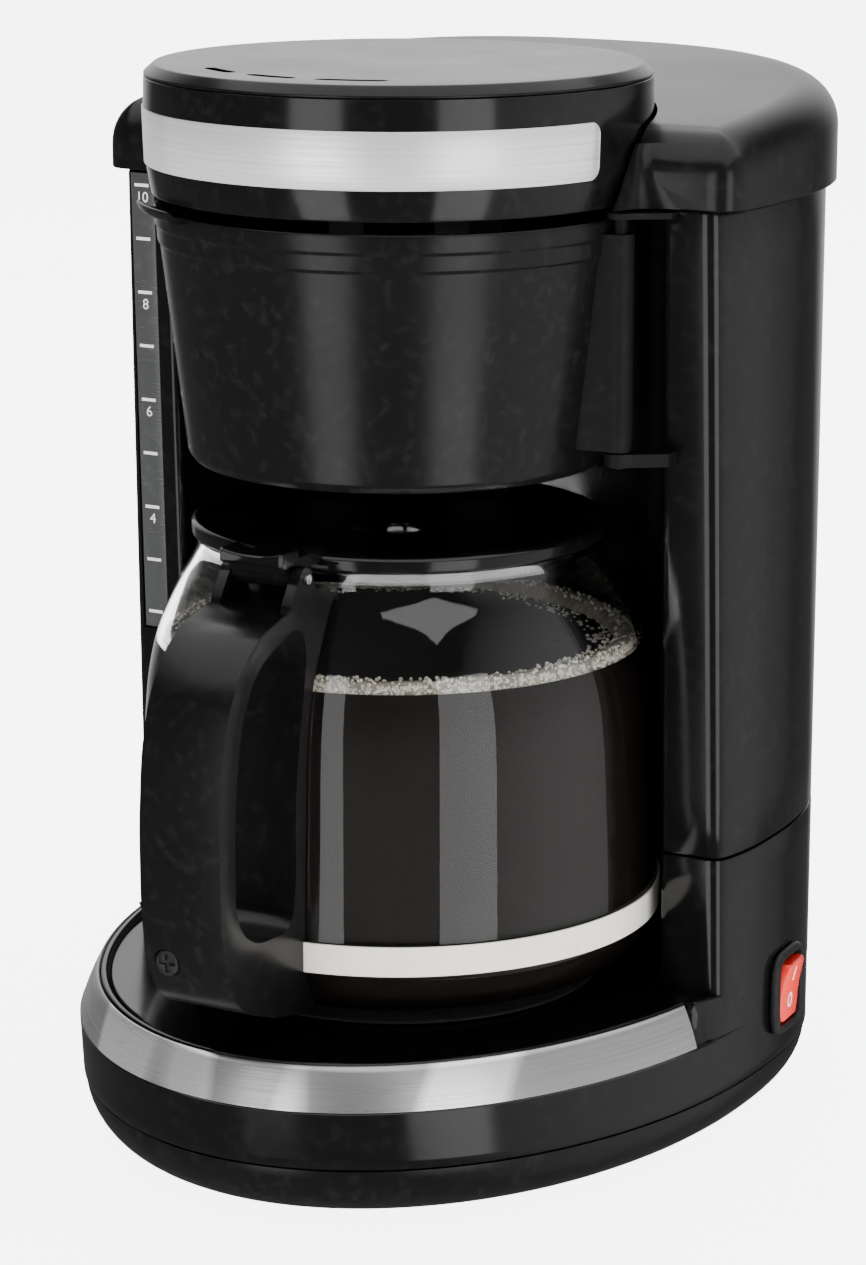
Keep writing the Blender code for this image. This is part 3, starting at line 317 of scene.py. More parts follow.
def soften(points, radius, steps=4, closed=True):
    """Rounds the corners of a polyline by about this radius."""
    points = [Vector(p) for p in points]
    result = []
    count = len(points)
    for i, here in enumerate(points):
        if not closed and i in (0, count - 1):
            result.append(tuple(here))
            continue
        before = points[i - 1] - here
        after = points[(i + 1) % count] - here
        reach = min(radius, before.length * 0.45, after.length * 0.45)
        if reach < 0.02 or before.angle(after) > math.radians(172):
            result.append(tuple(here))
            continue
        start = here + before.normalized() * reach
        end = here + after.normalized() * reach
        for k in range(steps + 1):
            s = k / steps
            result.append(tuple(start * (1 - s) ** 2 + here * 2 * s * (1 - s) + end * s ** 2))
    return result


def turned(name, profile, finish, steps=TURNED, soft=0.0, ring=True, angle=32.0):
    """Turns a profile of (radius, z) about the brew axis."""
    if soft:
        profile = soften(profile, soft, 3, ring)
    rings = []
    for k in range(steps):
        a = 2 * math.pi * k / steps
        rings.append([(r * math.cos(a), r * math.sin(a), z) for r, z in profile])
    return skin(name, rings, finish, loop=True, closed=ring, angle=angle)


def swept(name, profile, start, end, steps, finish, angle=32.0):
    """Sweeps a closed profile of (radius, z) about the brew axis; angles in degrees from the front."""
    rings = []
    for k in range(steps + 1):
        a = math.radians(start + (end - start) * k / steps - 90.0)
        rings.append([(r * math.cos(a), r * math.sin(a), z) for r, z in profile])
    return skin(name, rings, finish, angle=angle)


def block(name, low, high, finish=None):
    rings = []
    for z in (low[2], high[2]):
        rings.append([(low[0], low[1], z), (high[0], low[1], z), (high[0], high[1], z), (low[0], high[1], z)])
    return skin(name, rings, finish)


def rod(name, start, end, radius, finish=None, steps=32):
    a = world(start)
    b = world(end)
    bm = bmesh.new()
    turn = (b - a).to_track_quat("Z", "Y").to_matrix().to_4x4()
    bmesh.ops.create_cone(
        bm, cap_ends=True, segments=steps, radius1=radius * MM, radius2=radius * MM,
        depth=(b - a).length, matrix=Matrix.Translation((a + b) / 2) @ turn)
    return collect(name, bm, finish)


def combine(obj, other, operation):
    """Applies one Boolean and throws the other object away."""
    step = obj.modifiers.new("combine", "BOOLEAN")
    step.operation = operation
    step.solver = "EXACT"
    step.object = other
    apply_modifiers(obj)
    bpy.data.objects.remove(other, do_unlink=True)


def cut(obj, other):
    combine(obj, other, "DIFFERENCE")


def join(obj, other):
    combine(obj, other, "UNION")


def apply_modifiers(obj, angle=32.0):
    bpy.context.view_layer.update()
    depsgraph = bpy.context.evaluated_depsgraph_get()
    mesh = bpy.data.meshes.new_from_object(obj.evaluated_get(depsgraph))
    obj.modifiers.clear()
    old = obj.data
    obj.data = mesh
    bpy.data.meshes.remove(old)
    mesh.shade_smooth()
    mesh.set_sharp_from_angle(angle=math.radians(angle))


def round_edges(obj, width, segments=3, angle=40.0, sharp=32.0):
    bevel = obj.modifiers.new("edges", "BEVEL")
    bevel.width = width * MM
    bevel.segments = segments
    bevel.limit_method = "ANGLE"
    bevel.angle_limit = math.radians(angle)
    bevel.harden_normals = False
    apply_modifiers(obj, sharp)


def settle(obj, body, slot, *nodes):
    """Hangs a piece on a body and hides the CAD nodes it stands for; slot is not used."""
    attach(obj, body)
    if nodes:
        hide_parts(*nodes)
    return obj


# ---------------------------------------------------------------- outlines of the housing

def signed_power(value, power):
    return math.copysign(abs(value) ** power, value)


def oval_point(t, inset, front_reach, front_power):
    behind = math.sin(t) >= 0.0
    reach = (BACK_REACH if behind else front_reach) - inset
    power = 2.0 / (BACK_POWER if behind else front_power)
    x = (HALF_WIDTH - inset) * signed_power(math.cos(t), power)
    y = WIDEST_Y + reach * signed_power(math.sin(t), power)
    return x, y


def side_x(y, inset, shoulder=SHOULDER_REACH):
    share = (WIDEST_Y - y) / (shoulder - inset)
    return (HALF_WIDTH - inset) * (1.0 - share ** BACK_POWER) ** (1.0 / BACK_POWER)


def face_y(z):
    return FACE_Y_TOP + (TOWER_TOP_Z - z) * FACE_LEAN


def bowl_reach(z):
    return BOWL_REACH + BOWL_FLARE * min(1.0, max(0.0, (z - SEAM_Z) / (BAND_LOW_Z - SEAM_Z)))


def bowl_angles(count=300):
    """Evenly spread angles with extra ones where the band's slope runs out beside the tower."""
    angles = [2 * math.pi * i / count for i in range(count)]
    for k in range(1, 24):
        a = math.radians(7.0 + 14.0 * k / 24)
        angles += [2 * math.pi - a, math.pi + a]
    return sorted(set(angles))


BOWL_ANGLES = bowl_angles()


def base_ring(z, inset=0.0, cone=0.0):
    """Plan of the bowl; the cone inset runs out along a slanting line beside the tower."""
    fade_from = 6.4 - (z - BAND_LOW_Z) * 0.5
    fade_length = 2.2
    reach = bowl_reach(z)
    ring = []
    for t in BOWL_ANGLES:
        x, y = oval_point(t, inset, reach, BOWL_POWER)
        weight = min(1.0, max(0.0, 1.0 - (y - fade_from) / fade_length))
        weight = weight * weight * (3 - 2 * weight)
        x, y = oval_point(t, inset + cone * weight, reach, BOWL_POWER)
        if -2.0 < y < WIDEST_Y:
            narrow = min(abs(x), side_x(y, inset))
            x = math.copysign(abs(x) + (narrow - abs(x)) * min(1.0, cone / 5.2) * (1 - weight), x)
        ring.append((x, y, z))
    return ring


def corner_points(start, corner, end, steps):
    points = []
    for k in range(steps + 1):
        s = k / steps
        points.append(tuple(
            start[i] * (1 - s) ** 2 + corner[i] * 2 * s * (1 - s) + end[i] * s ** 2 for i in range(2)))
    return points


def tower_side(front, inset, corner_radius, steps=60, shoulder=SHOULDER_REACH):
    """Right half of the outline, from the front face round its outer corner to the middle of the back."""
    radius = max(corner_radius - inset, 0.6)
    corner = (side_x(front, inset, shoulder), front)
    start = (corner[0] - radius, front)
    end = (side_x(front + radius, inset, shoulder), front + radius)
    points = corner_points(start, corner, end, 8)
    share = (WIDEST_Y - end[1]) / (shoulder - inset)
    t_start = -math.asin(share ** (BACK_POWER / 2))
    for k in range(1, steps + 1):
        t = t_start + (math.pi / 2 - t_start) * k / steps
        points.append(oval_point(t, inset, shoulder, BACK_POWER))
    return points


def mirrored(points):
    return [(-x, y) for x, y in reversed(points)]


def tower_ring(z, inset=0.0, arc_steps=90):
    front = face_y(z) + inset
    recess = RECESS_RADIUS + inset
    edge = max(2.2 - inset, 0.5)
    inner_x = math.sqrt(recess ** 2 - front ** 2)
    rise = (math.sqrt(recess ** 2 - (front + edge) ** 2), front + edge)
    right = corner_points(rise, (inner_x, front), (inner_x + edge, front), 5)
    right += tower_side(front, inset, 3.5)
    outline = right + mirrored(right[:-1])
    a = math.atan2(rise[1], rise[0])
    for k in range(1, arc_steps):
        angle = math.pi - a - (math.pi - 2 * a) * k / arc_steps
        outline.append((recess * math.cos(angle), recess * math.sin(angle)))
    return [(x, y, z) for x, y in outline]


def lid_ring(z, inset=0.0, rise=0.0):
    """Plan of the top cover; with a rise it climbs towards the back."""
    front = face_y(TOWER_TOP_Z) - 2.0 + inset
    right = tower_side(front, inset - LID_LIP, LID_CORNER, shoulder=LID_SHOULDER_REACH)
    outline = right + mirrored(right[:-1])
    return [(x, y, z + rise * (y - front + inset)) for x, y in outline]


# ---------------------------------------------------------------- base

def foot_places():
    return [(-46, -42), (46, -42), (-58, 92), (58, 92)]


def screw_places():
    return [(-33, -63), (33, -63), (-52, 104), (52, 104)]


def make_bottom_cover():
    corner = 16.0
    floor = 2.0
    outer = []
    inner = []
    for k in range(15):
        a = math.pi / 2 * k / 14
        inset = 0.5 + corner * (1 - math.sin(a))
        z = FOOT_HEIGHT + corner * (1 - math.cos(a))
        outer.append(base_ring(min(z, SEAM_Z - 0.3), inset))
        if k % 3 == 0:
            inner.append(base_ring(min(z + floor, SEAM_Z - 0.5), inset + floor))
    cover = skin("bottom_bowl", outer + inner[::-1], MATERIALS["satin_black"], angle=40)
    for x, y in foot_places():
        cut(cover, rod("hole", (x, y, 0), (x, y, 10), 2.8))
    for x, y in screw_places():
        cut(cover, rod("hole", (x, y, 0), (x, y, 10), 2.3))
    settle(cover, "housing", "satin_black", "bottom_cover")


def make_base_housing():
    low = SEAM_Z + 0.2
    lip = 6.4
    outer = [base_ring(low, 0.6), base_ring(low + 0.15, 0.25), base_ring(low + 0.5, 0.0)]
    for k in range(1, 7):
        outer.append(base_ring(low + 0.5 + (BAND_LOW_Z - 0.9 - low) * k / 7))
    slope = [(BAND_LOW_Z - 0.35, 0.0), (BAND_LOW_Z - 0.1, 0.25), (BAND_LOW_Z, 0.7), (BAND_LOW_Z + 0.05, 1.7),
             (40.0, 3.6), (44.0, 5.4), (46.6, 6.5)]
    outer += [base_ring(z, 0.0, cone) for z, cone in slope]
    rim = [(47.15, 0.0), (47.55, 0.3), (47.7, 0.9), (47.6, 1.6), (47.1, 2.2), (46.7, 2.6), (46.48, 3.2),
           (DECK_Z, 4.2)]
    outer += [base_ring(z, inset, lip) for z, inset in rim]
    housing = skin("base_shell", outer, MATERIALS["gloss_black"], angle=40)
    skin_out = -0.1
    column = [tower_ring(40.0, skin_out)]
    for k in range(1, 8):
        column.append(tower_ring(40.0 + (COLUMN_TOP_Z - 40.8) * k / 7, skin_out))
    column += [tower_ring(COLUMN_TOP_Z - 0.2, 0.15), tower_ring(COLUMN_TOP_Z, 0.6)]
    join(housing, skin("column", column, None))
    bowl_room = [base_ring(17.0, WALL), base_ring(33.0, WALL), base_ring(44.0, WALL, 8.0)]
    cut(housing, skin("bowl_room", bowl_room, None))
    column_room = [tower_ring(z, WALL + 0.3) for z in (30.0, 95.0)]
    cut(housing, skin("column_room", column_room, None))
    cut(housing, rod("plate_hole", (0, 0, 40), (0, 0, 60), 55.5, steps=TURNED))
    cut(housing, switch_piece("switch_hole", [oval(20.6, 22.6, -9.0), oval(20.6, 22.6, 9.0)], None))
    cut(housing, rod("cord_hole", (-16, 100, 31), (-16, 150, 31), 6.1))
    apply_modifiers(housing, 36)
    settle(housing, "housing", "gloss_black", "base_housing")


def make_base_band():
    """Brushed strip on the sloped front of the bowl, with its long edges folded back."""
    low_z = BAND_LOW_Z + 0.1
    high_z = 47.2
    t_end = math.radians(15.2)
    steps = 180
    rings = []
    for k in range(steps + 1):
        t = -math.pi + t_end + (math.pi - 2 * t_end) * k / steps
        outline = []
        for z, cone in band_section(low_z, high_z):
            x, y = oval_point(t, cone, BOWL_REACH + BOWL_FLARE, BOWL_POWER)
            outline.append((x, y, z))
        rings.append(outline)
    band = skin("base_band", rings, MATERIALS["brushed_steel"], angle=50)
    settle(band, "housing", "brushed_steel", "base_trim_band")


def band_section(low_z, high_z):
    """Closed section of the base band as (z, cone): a shallow crowned face and a thin back."""
    points = []
    for k in range(9):
        s = k / 8
        crown = 0.35 * (1 - (2 * s - 1) ** 2)
        points.append((low_z + (high_z - low_z) * s, 0.3 + 4.9 * s - crown))
    points += [(high_z + 0.1, 5.6), (high_z - 0.4, 6.1), (low_z + 0.1, 1.2)]
    return points


def make_hot_plate():
    dark = MATERIALS["matt_black"]
    plate = [(0, 49.6), (44, 49.6), (45.5, 49.9), (47, 50.3), (49.5, 50.3), (51.0, 49.8), (52, 48.9),
             (52, 46.6), (50.8, 46.6), (50.6, 48.4), (46, 48.6), (0, 48.4)]
    settle(turned("warming_plate", plate, dark, soft=0.5, ring=False), "housing", "steel", "hot_plate")
    seal = [(52.4, 49.3), (54.2, 49.1), (58.0, 47.6), (58.3, 46.8), (55.1, 46.8), (55.1, 43.5), (57, 42.5),
            (57, 41.6), (52.4, 41.6)]
    settle(turned("plate_seal", seal, MATERIALS["rubber"], soft=0.4), "housing", "silicone", "hot_plate_seal")


# ---------------------------------------------------------------- switch

def switch_frame():
    return Matrix.Translation(SWITCH_CENTRE) @ Matrix.Rotation(SWITCH_TURN, 4, "Z")


def switch_piece(name, rings, finish, loop=False, angle=32.0):
    """Skins rings given as (out, across, up) from the middle of the switch opening."""
    placing = switch_frame()
    placed = [[tuple(placing @ Vector(p)) for p in ring] for ring in rings]
    return skin(name, placed, finish, loop=loop, angle=angle)


def oval(width, height, out, power=4.0, count=72):
    ring = []
    for i in range(count):
        t = 2 * math.pi * (i + 0.5) / count
        ring.append((out, width / 2 * signed_power(math.cos(t), 2 / power),
                     height / 2 * signed_power(math.sin(t), 2 / power)))
    return ring


def make_switch():
    bezel = [oval(20.0, 22.0, -8.0), oval(20.0, 22.0, 0.3), oval(22.6, 24.8, 0.35), oval(23.0, 25.2, 0.8),
             oval(22.8, 25.0, 1.4), oval(22.0, 24.2, 2.0), oval(20.8, 23.0, 2.4), oval(19.4, 21.8, 2.5, 4.4),
             oval(17.8, 20.8, 2.3, 5.0), oval(17.0, 20.3, 1.9, 6.0), oval(16.8, 20.1, 1.2, 6.0),
             oval(16.8, 20.1, -8.0, 6.0)]
    settle(switch_piece("switch_surround", bezel, MATERIALS["matt_black"], loop=True, angle=45), "housing",
           "matt_black", "switch_bezel")
    rows = []
    count = 28
    for k in range(count + 1):
        up = -8.8 + 17.6 * k / count
        rows.append(rocker_section(up))
    key = switch_piece("rocker_key", rows, MATERIALS["red_plastic"], angle=50)
    round_edges(key, 0.3, 2, 60.0, 40.0)
    settle(key, "rocker", "red_plastic", "rocker_switch")
    settle(rocker_bar(), "rocker", "red_plastic")
    settle(rocker_ring(), "rocker", "red_plastic")


def rocker_height(up):
    """How far the rocker's face stands out at this height: two shallow slopes with a soft valley."""
    tilt = 0.155 * up
    valley = 0.012 * up * up
    return 2.25 + tilt * 0.9 + valley


def rocker_section(up):
    half = 7.4 - 2.0 * (abs(up) / 8.8) ** 4
    high = min(rocker_height(up), 4.0)
    low = -4.2 - 3.0 * (1 - (up / 8.8) ** 2)
    soft = 1.0
    right = [(high - soft, half), (high - 0.25, half - soft * 0.35), (high, half - soft)]
    left = [(out, -across) for out, across in reversed(right)]
    return [(out, across, up) for out, across in [(low, -half), (low, half), *right, (high, 0.0), *left]]


def rocker_bar():
    """The upper mark on the rocker, a short stroke."""
    rings = []
    for k in range(7):
        up = 2.6 + 4.4 * k / 6
        low = rocker_height(up) - 0.1
        high = rocker_height(up) + 0.06
        rings.append([(low, -0.42, up), (low, 0.42, up), (high, 0.42, up), (high, -0.42, up)])
    return switch_piece("rocker_mark_on", rings, INK)


def rocker_ring():
    """The lower mark on the rocker, an oval loop."""
    rings = []
    for k in range(40):
        a = 2 * math.pi * k / 40
        section = []
        for grow, lift in ((0.0, -0.1), (0.0, 0.06), (0.75, 0.06), (0.75, -0.1)):
            up = -3.4 + (2.3 - grow) * math.sin(a)
            section.append((rocker_height(up) + lift, (1.75 - grow) * math.cos(a), up))
        rings.append(section)
    return switch_piece("rocker_mark_off", rings, INK, loop=True)


# ---------------------------------------------------------------- tower and gauge

def make_tower():
    outer = [tower_ring(TOWER_LOW_Z, 0.6), tower_ring(TOWER_LOW_Z + 0.15, 0.2), tower_ring(TOWER_LOW_Z + 0.6)]
    for k in range(1, 12):
        outer.append(tower_ring(TOWER_LOW_Z + 0.6 + (TOWER_TOP_Z - TOWER_LOW_Z - 1.2) * k / 12))
    outer += [tower_ring(TOWER_TOP_Z - 0.6), tower_ring(TOWER_TOP_Z, 0.4)]
    inner = [tower_ring(TOWER_TOP_Z, WALL), tower_ring(TOWER_LOW_Z, WALL)]
    tower = skin("tower_shell", outer + inner, MATERIALS["gloss_black"], loop=True)
    cut(tower, window_bar("window_hole", -93.0, -84.2, 131.8, 280.0, -3.0, 6.0, None))
    for low, high in ((199.2, 202.8), (266.4, 268.0)):
        # The hinge lugs take the dull black of painted shade.
        lug = skin("hinge_lug_%d" % low, [lug_ring(low), lug_ring(high)], HINGE_PAINTED_SHADE)
        cut(lug, rod("lug_hole", (*BASKET_PIVOT, low - 2), (*BASKET_PIVOT, high + 2), 2.3))
        settle(lug, "housing", "gloss_black")
    y, z = LID_AXIS
    half = KNUCKLE_LENGTH / 2 + 0.3
    for k in range(-2, 3):
        middle = k * KNUCKLE_PITCH
        if k % 2:
            cut(tower, block("notch", (middle - half, y - 2.5, z - 2.5), (middle + half, y + 4.0, z + 5)))
        else:
            join(tower, knuckle(k, tower_knuckle_section()))
    cut(tower, rod("hinge_hole", (-18.2, y, z), (18.2, y, z), 1.25))
    apply_modifiers(tower, 36)
    settle(tower, "housing", "gloss_black", "tower_housing")


def lug_ring(z):
    ring = [(83.0, 10.0), (77.6, 10.0), (76.8, 6.0), (71.5, 2.2)]
    for degrees in range(110, 331, 20):
        a = math.radians(degrees)
        ring.append((BASKET_PIVOT[0] + 4.0 * math.cos(a), BASKET_PIVOT[1] + 4.0 * math.sin(a)))
    ring.append((83.0, 1.5))
    return [(x, y, z) for x, y in ring[::-1]]


def window_bar(name, left, right, low, high, proud, depth, finish):
    rings = []
    for z in (low, high):
        front = face_y(z) + proud
        back = face_y(z) + depth
        rings.append([(left, front, z), (right, front, z), (right, back, z), (left, back, z)])
    return skin(name, rings, finish)


GAUGE_LEVELS = [10, 9, 8, 7, 6, 5, 4, 3, 2]
GAUGE_HEIGHTS = [264.2, 248.6, 232.9, 217.1, 201.1, 185.1, 168.9, 152.9, 137.0]


def make_gauge():
    window = window_bar("gauge_strip", -92.6, -84.6, 132.2, 267.8, 0.35, 2.2, MATERIALS["smoked_window"])
    round_edges(window, 0.3, 2)
    settle(window, "housing", "smoked_window", "gauge_window")
    for level, z in zip(GAUGE_LEVELS, GAUGE_HEIGHTS):
        mark = window_bar("gauge_mark_%d" % level, -91.2, -86.4, z - 0.45, z + 0.45, 0.28, 0.6, INK)
        settle(mark, "housing", "smoked_window")
        if level % 2 == 0 and level > 2:
            settle(number(level, -88.7, z - 3.6), "housing", "smoked_window")


def number(value, x, z):
    """Printed number on the gauge, centred at x with its middle at z."""
    curve = bpy.data.curves.new("number", "FONT")
    curve.body = str(value)
    curve.size = 4.3 * MM
    curve.extrude = 0.04 * MM
    curve.align_x = "CENTER"
    curve.align_y = "CENTER"
    source = bpy.data.objects.new("number", curve)
    bpy.context.scene.collection.objects.link(source)
    bpy.context.view_layer.update()
    mesh = bpy.data.meshes.new_from_object(source.evaluated_get(bpy.context.evaluated_depsgraph_get()))
    bpy.data.objects.remove(source, do_unlink=True)
    place = Matrix.Translation(world((x, face_y(z) + 0.3, z))) @ Matrix.Rotation(math.pi / 2, 4, "X")
    mesh.transform(place)
    mesh.materials.clear()
    mesh.materials.append(INK)
    obj = bpy.data.objects.new("gauge_number_%d" % value, mesh)
    bpy.context.scene.collection.objects.link(obj)
    return obj


# ---------------------------------------------------------------- top covers

def dome_rings(inset, top, low, steps=12):
    radius = 13.0 - inset
    rings = [lid_ring(low, inset + 0.35), lid_ring(low + 0.35, inset)]
    for k in range(steps + 1):
        a = math.pi / 2 * k / steps
        z = top - radius + radius * math.sin(a)
        rings.append(lid_ring(z, inset + radius * (1 - math.cos(a)), LID_RISE))
    return rings


def neck_rings(side):
    """Fillet that leads the cover's front face forward along the head; side is 1 for right, -1 for left."""
    levels = [(268.9, 12.0, 3.0), (271.5, 9.8, 3.0), (274.5, 7.6, 3.0), (278.0, 5.6, 3.3), (281.5, 4.2, 4.4),
              (283.5, 3.8, 5.8), (285.5, 3.6, 7.6)]
    rings = []
    for z, reach, face in levels:
        tip = face - reach
        start = (math.sqrt(71.8 ** 2 - tip ** 2), tip)
        end = (71.5 + reach * 1.1, face + 0.05)
        ring = [(66.0, tip)] + corner_points(start, (72.6, face - 0.4), end, 14)
        ring += [(end[0], face + 6.0), (66.0, face + 6.0)]
        rings.append([(side * x, y, z) for x, y in ring])
    return rings


def make_top_cover():
    """One cover over the whole tower, hinged at the middle of its back edge."""
    lid = skin("tank_cover", dome_rings(0.0, LID_TOP_Z, LID_LOW_Z), MATERIALS["satin_black"])
    cut(lid, skin("room", dome_rings(2.4, LID_TOP_Z - 2.4, LID_LOW_Z - 4.0, 6), None))
    for side in (-1, 1):
        join(lid, skin("neck", neck_rings(side), None))
    cut(lid, rod("head_hole", (0, 0, 260), (0, 0, 310), 70.9, steps=TURNED))
    for k in (-1, 1):
        join(lid, knuckle(k, lid_knuckle_section()))
    y, z = LID_AXIS
    cut(lid, rod("hinge_hole", (-18.2, y, z), (18.2, y, z), 1.25))
    apply_modifiers(lid, 30)
    settle(lid, "tank_lid_body", "satin_black", "tank_lid")


def lid_knuckle_section():
    """Section of a knuckle that hangs from the cover's back edge, as (behind the axis, above the axis)."""
    ring = []
    for degrees in range(180, 361, 10):
        a = math.radians(degrees)
        ring.append((KNUCKLE_RADIUS * math.cos(a), KNUCKLE_RADIUS * math.sin(a)))
    return ring + [(KNUCKLE_RADIUS, 3.6), (0.0, 3.6)]


def tower_knuckle_section():
    """Section of a knuckle that grows out of the tower's back wall."""
    ring = []
    for degrees in range(-90, 91, 10):
        a = math.radians(degrees)
        ring.append((KNUCKLE_RADIUS * math.cos(a), KNUCKLE_RADIUS * math.sin(a)))
    return ring + [(-2.2, KNUCKLE_RADIUS), (-2.2, -4.4), (-1.0, -4.4)]


def knuckle(place, section):
    """Hinge knuckle number place, counted from the middle one."""
    y, z = LID_AXIS
    middle = place * KNUCKLE_PITCH
    return skin("knuckle", [[(x, y + across, z + up) for across, up in section]
                            for x in (middle - KNUCKLE_LENGTH / 2, middle + KNUCKLE_LENGTH / 2)], None)


# ---------------------------------------------------------------- brew head

def make_head():
    gloss = MATERIALS["gloss_black"]
    wall = [(69.8, 301.25), (70.0, 293.5), (69.5, 277.5), (68.1, 269.3), (66.4, 269.3), (66.2, 270.8),
            (29.6, 270.8), (29.6, 273.0), (66.6, 273.0), (67.6, 301.25)]
    housing = turned("head_shell", wall, gloss, 200, 0.45)
    settle(housing, "housing", "gloss_black", "head_housing")
    shelf = [(68.6, 268.7), (83.5, 268.7), (83.5, 270.9), (68.6, 270.9)]
    deck = swept("head_deck", shelf, 98, 262, 60, gloss)
    settle(deck, "housing", "gloss_black")
    settle(head_band(), "housing", "brushed_steel", "head_trim_band")
    top = soften([(60, 304.6), (66.9, 304.6), (69.75, 302.1), (69.8, 301.45), (66.8, 301.45), (66.8, 297.5),
                  (65.2, 297.5), (65.2, 302.2), (60, 302.2)], 0.5, 4, False)
    cap = turned("head_top", [(0, 304.6)] + top + [(0, 302.2)], MATERIALS["satin_black"], 200, ring=False)
    for middle, half in ((-31.0, 8.0), (-8.0, 8.5), (17.0, 10.5)):
        cut(cap, vent(middle, half))
    apply_modifiers(cap, 30)
    settle(cap, "housing", "satin_black", "head_cap")


VENT_RADIUS = 54.8


def vent(middle, half):
    """Cutter for one curved slot with rounded ends."""
    rings = []
    steps = 22
    for k in range(steps + 1):
        share = -1 + 2 * k / steps
        a = math.radians(middle + half * share - 90.0)
        width = 1.7 * math.sqrt(max(0.0, 1 - abs(share) ** 8)) + 0.05
        near = VENT_RADIUS - width
        far = VENT_RADIUS + width
        rings.append([(r * math.cos(a), r * math.sin(a), z)
                      for r, z in ((near, 298), (far, 298), (far, 309), (near, 309))])
    return skin("vent", rings, None)


def head_band():
    """Brushed band round the front of the head with rounded ends."""
    low, high, end, radius = 277.7, 293.0, 79.0, 3.4
    centre_radius = 70.0
    arc = math.radians(2 * end) * centre_radius
    steps = 150
    stations = [radius * (1 - math.cos(math.pi / 2 * k / 10)) for k in range(10)]
    stations += [radius + (arc - 2 * radius) * k / steps for k in range(steps + 1)]
    stations += [arc - s for s in reversed(stations[:10])]
    rings = []
    for s in stations:
        depth = max(0.0, radius - min(s, arc - s))
        drop = radius - math.sqrt(max(0.0, radius ** 2 - depth ** 2))
        a = math.radians(-end - 90.0) + s / centre_radius
        section = []
        bottom = low + drop
        peak = high - drop
        for lift, z in ((-0.1, bottom), (0.3, bottom), (0.42, bottom + 0.15), (0.42, peak - 0.15),
                        (0.3, peak), (-0.1, peak)):
            wall = 69.5 + 0.5 * (z - low) / (high - low)
            r = wall + lift
            section.append((r * math.cos(a), r * math.sin(a), z))
        rings.append(section)
    return skin("head_band", rings, HEAD_STEEL, angle=50)


# ---------------------------------------------------------------- basket

def make_basket():
    wall = [(65.4, 266.0), (67.2, 266.0), (67.45, 265.2), (67.45, 261.2), (66.9, 260.4), (66.6, 256.2),
            (66.0, 255.6), (59.0, 197.6), (57.4, 195.4), (7.0, 195.4), (7.0, 193.4), (4.0, 193.4),
            (4.0, 197.2), (56.6, 197.2), (57.4, 198.6), (64.2, 255.0), (65.2, 261.0)]
    basket = turned("brew_basket", wall, MATERIALS["satin_black"], soft=0.6)
    lip = soften([(66.0, 264.4), (69.4, 264.4), (71.6, 265.4), (72.6, 267.6), (71.9, 268.2), (70.6, 266.9),
                  (69.2, 266.2), (66.0, 266.0)], 0.8, 3)
    join(basket, swept("lip", lip, -51.0, -29.0, 24, None))
    # The hinge web takes the dull black of painted shade.
    web = skin("hinge_web", [web_ring(203.3, 57.6), web_ring(262.3, 64.5)], HINGE_PAINTED_SHADE)
    cut(web, rod("bore", (*BASKET_PIVOT, 190), (*BASKET_PIVOT, 270), 2.3))
    settle(web, "basket", "satin_black")
    settle(basket, "basket", "satin_black", "basket_holder")
    # The steel pin is coloured black as painted shade.
    pin = rod("hinge_pin", (*BASKET_PIVOT, 198.4), (*BASKET_PIVOT, 268.3), 1.95, HINGE_PAINTED_SHADE)
    round_edges(pin, 0.3, 2)
    settle(pin, "housing", "steel", "basket_hinge_pin")


def web_ring(z, reach):
    ring = [(reach, 1.5, z), (reach, -7.5, z)]
    for degrees in range(-100, 101, 20):
        a = math.radians(degrees)
        ring.append((BASKET_PIVOT[0] + 3.8 * math.cos(a), BASKET_PIVOT[1] + 3.8 * math.sin(a), z))
    return ring


# ---------------------------------------------------------------- carafe

GLASS_OUTER = [(57.3, 173.2), (57.0, 170.0), (58.6, 166.0), (62.0, 160.0), (65.8, 152.0), (68.9, 144.0),
               (71.2, 133.0), (72.4, 120.0), (73.0, 105.0), (73.5, 88.0), (73.7, 70.0), (72.6, 63.0),
               (69.4, 57.0), (63.5, 52.6), (56.0, 51.0), (49.0, 50.8)]
GLASS_WALL = 2.0
WET_WALL = 1.8
JUG_FLOOR = 51.4
RING_BUBBLES = 4200
LOOSE_BUBBLES = 900
FOAM_TOP = 146.9
COFFEE_TOP = 142.6


def smooth_line(points, steps=5):
    """Catmull-Rom line through the points."""
    result = []
    count = len(points)
    for i in range(count - 1):
        p0 = Vector(points[max(i - 1, 0)])
        p1 = Vector(points[i])
        p2 = Vector(points[i + 1])
        p3 = Vector(points[min(i + 2, count - 1)])
        for k in range(steps):
            s = k / steps
            result.append(tuple(0.5 * ((2 * p1) + (p2 - p0) * s + (2 * p0 - 5 * p1 + 4 * p2 - p3) * s ** 2
                                       + (3 * p1 - p0 - 3 * p2 + p3) * s ** 3)))
    result.append(tuple(points[-1]))
    return result


def inward(line, distance):
    """Offsets a profile towards the axis along its normals."""
    result = []
    for i, point in enumerate(line):
        before = Vector(line[max(i - 1, 0)])
        after = Vector(line[min(i + 1, len(line) - 1)])
        along = (after - before).normalized()
        normal = Vector((along.y, -along.x))
        if normal.x > 0:
            normal = -normal
        moved = Vector(point) + normal * distance
        if point[1] < 56.0:
            moved = Vector((moved.x, max(moved.y, JUG_FLOOR + distance)))
        result.append((max(moved.x, 0.0), moved.y))
    return result


def glass_radius(z, inset=GLASS_WALL):
    """Inner radius of the glass at height z."""
    line = inward(smooth_line(GLASS_OUTER), inset)
    for (r1, z1), (r2, z2) in zip(line, line[1:]):
        if z2 <= z <= z1 and z1 > z2:
            return r1 + (r2 - r1) * (z1 - z) / (z1 - z2)
    return line[-1][0]


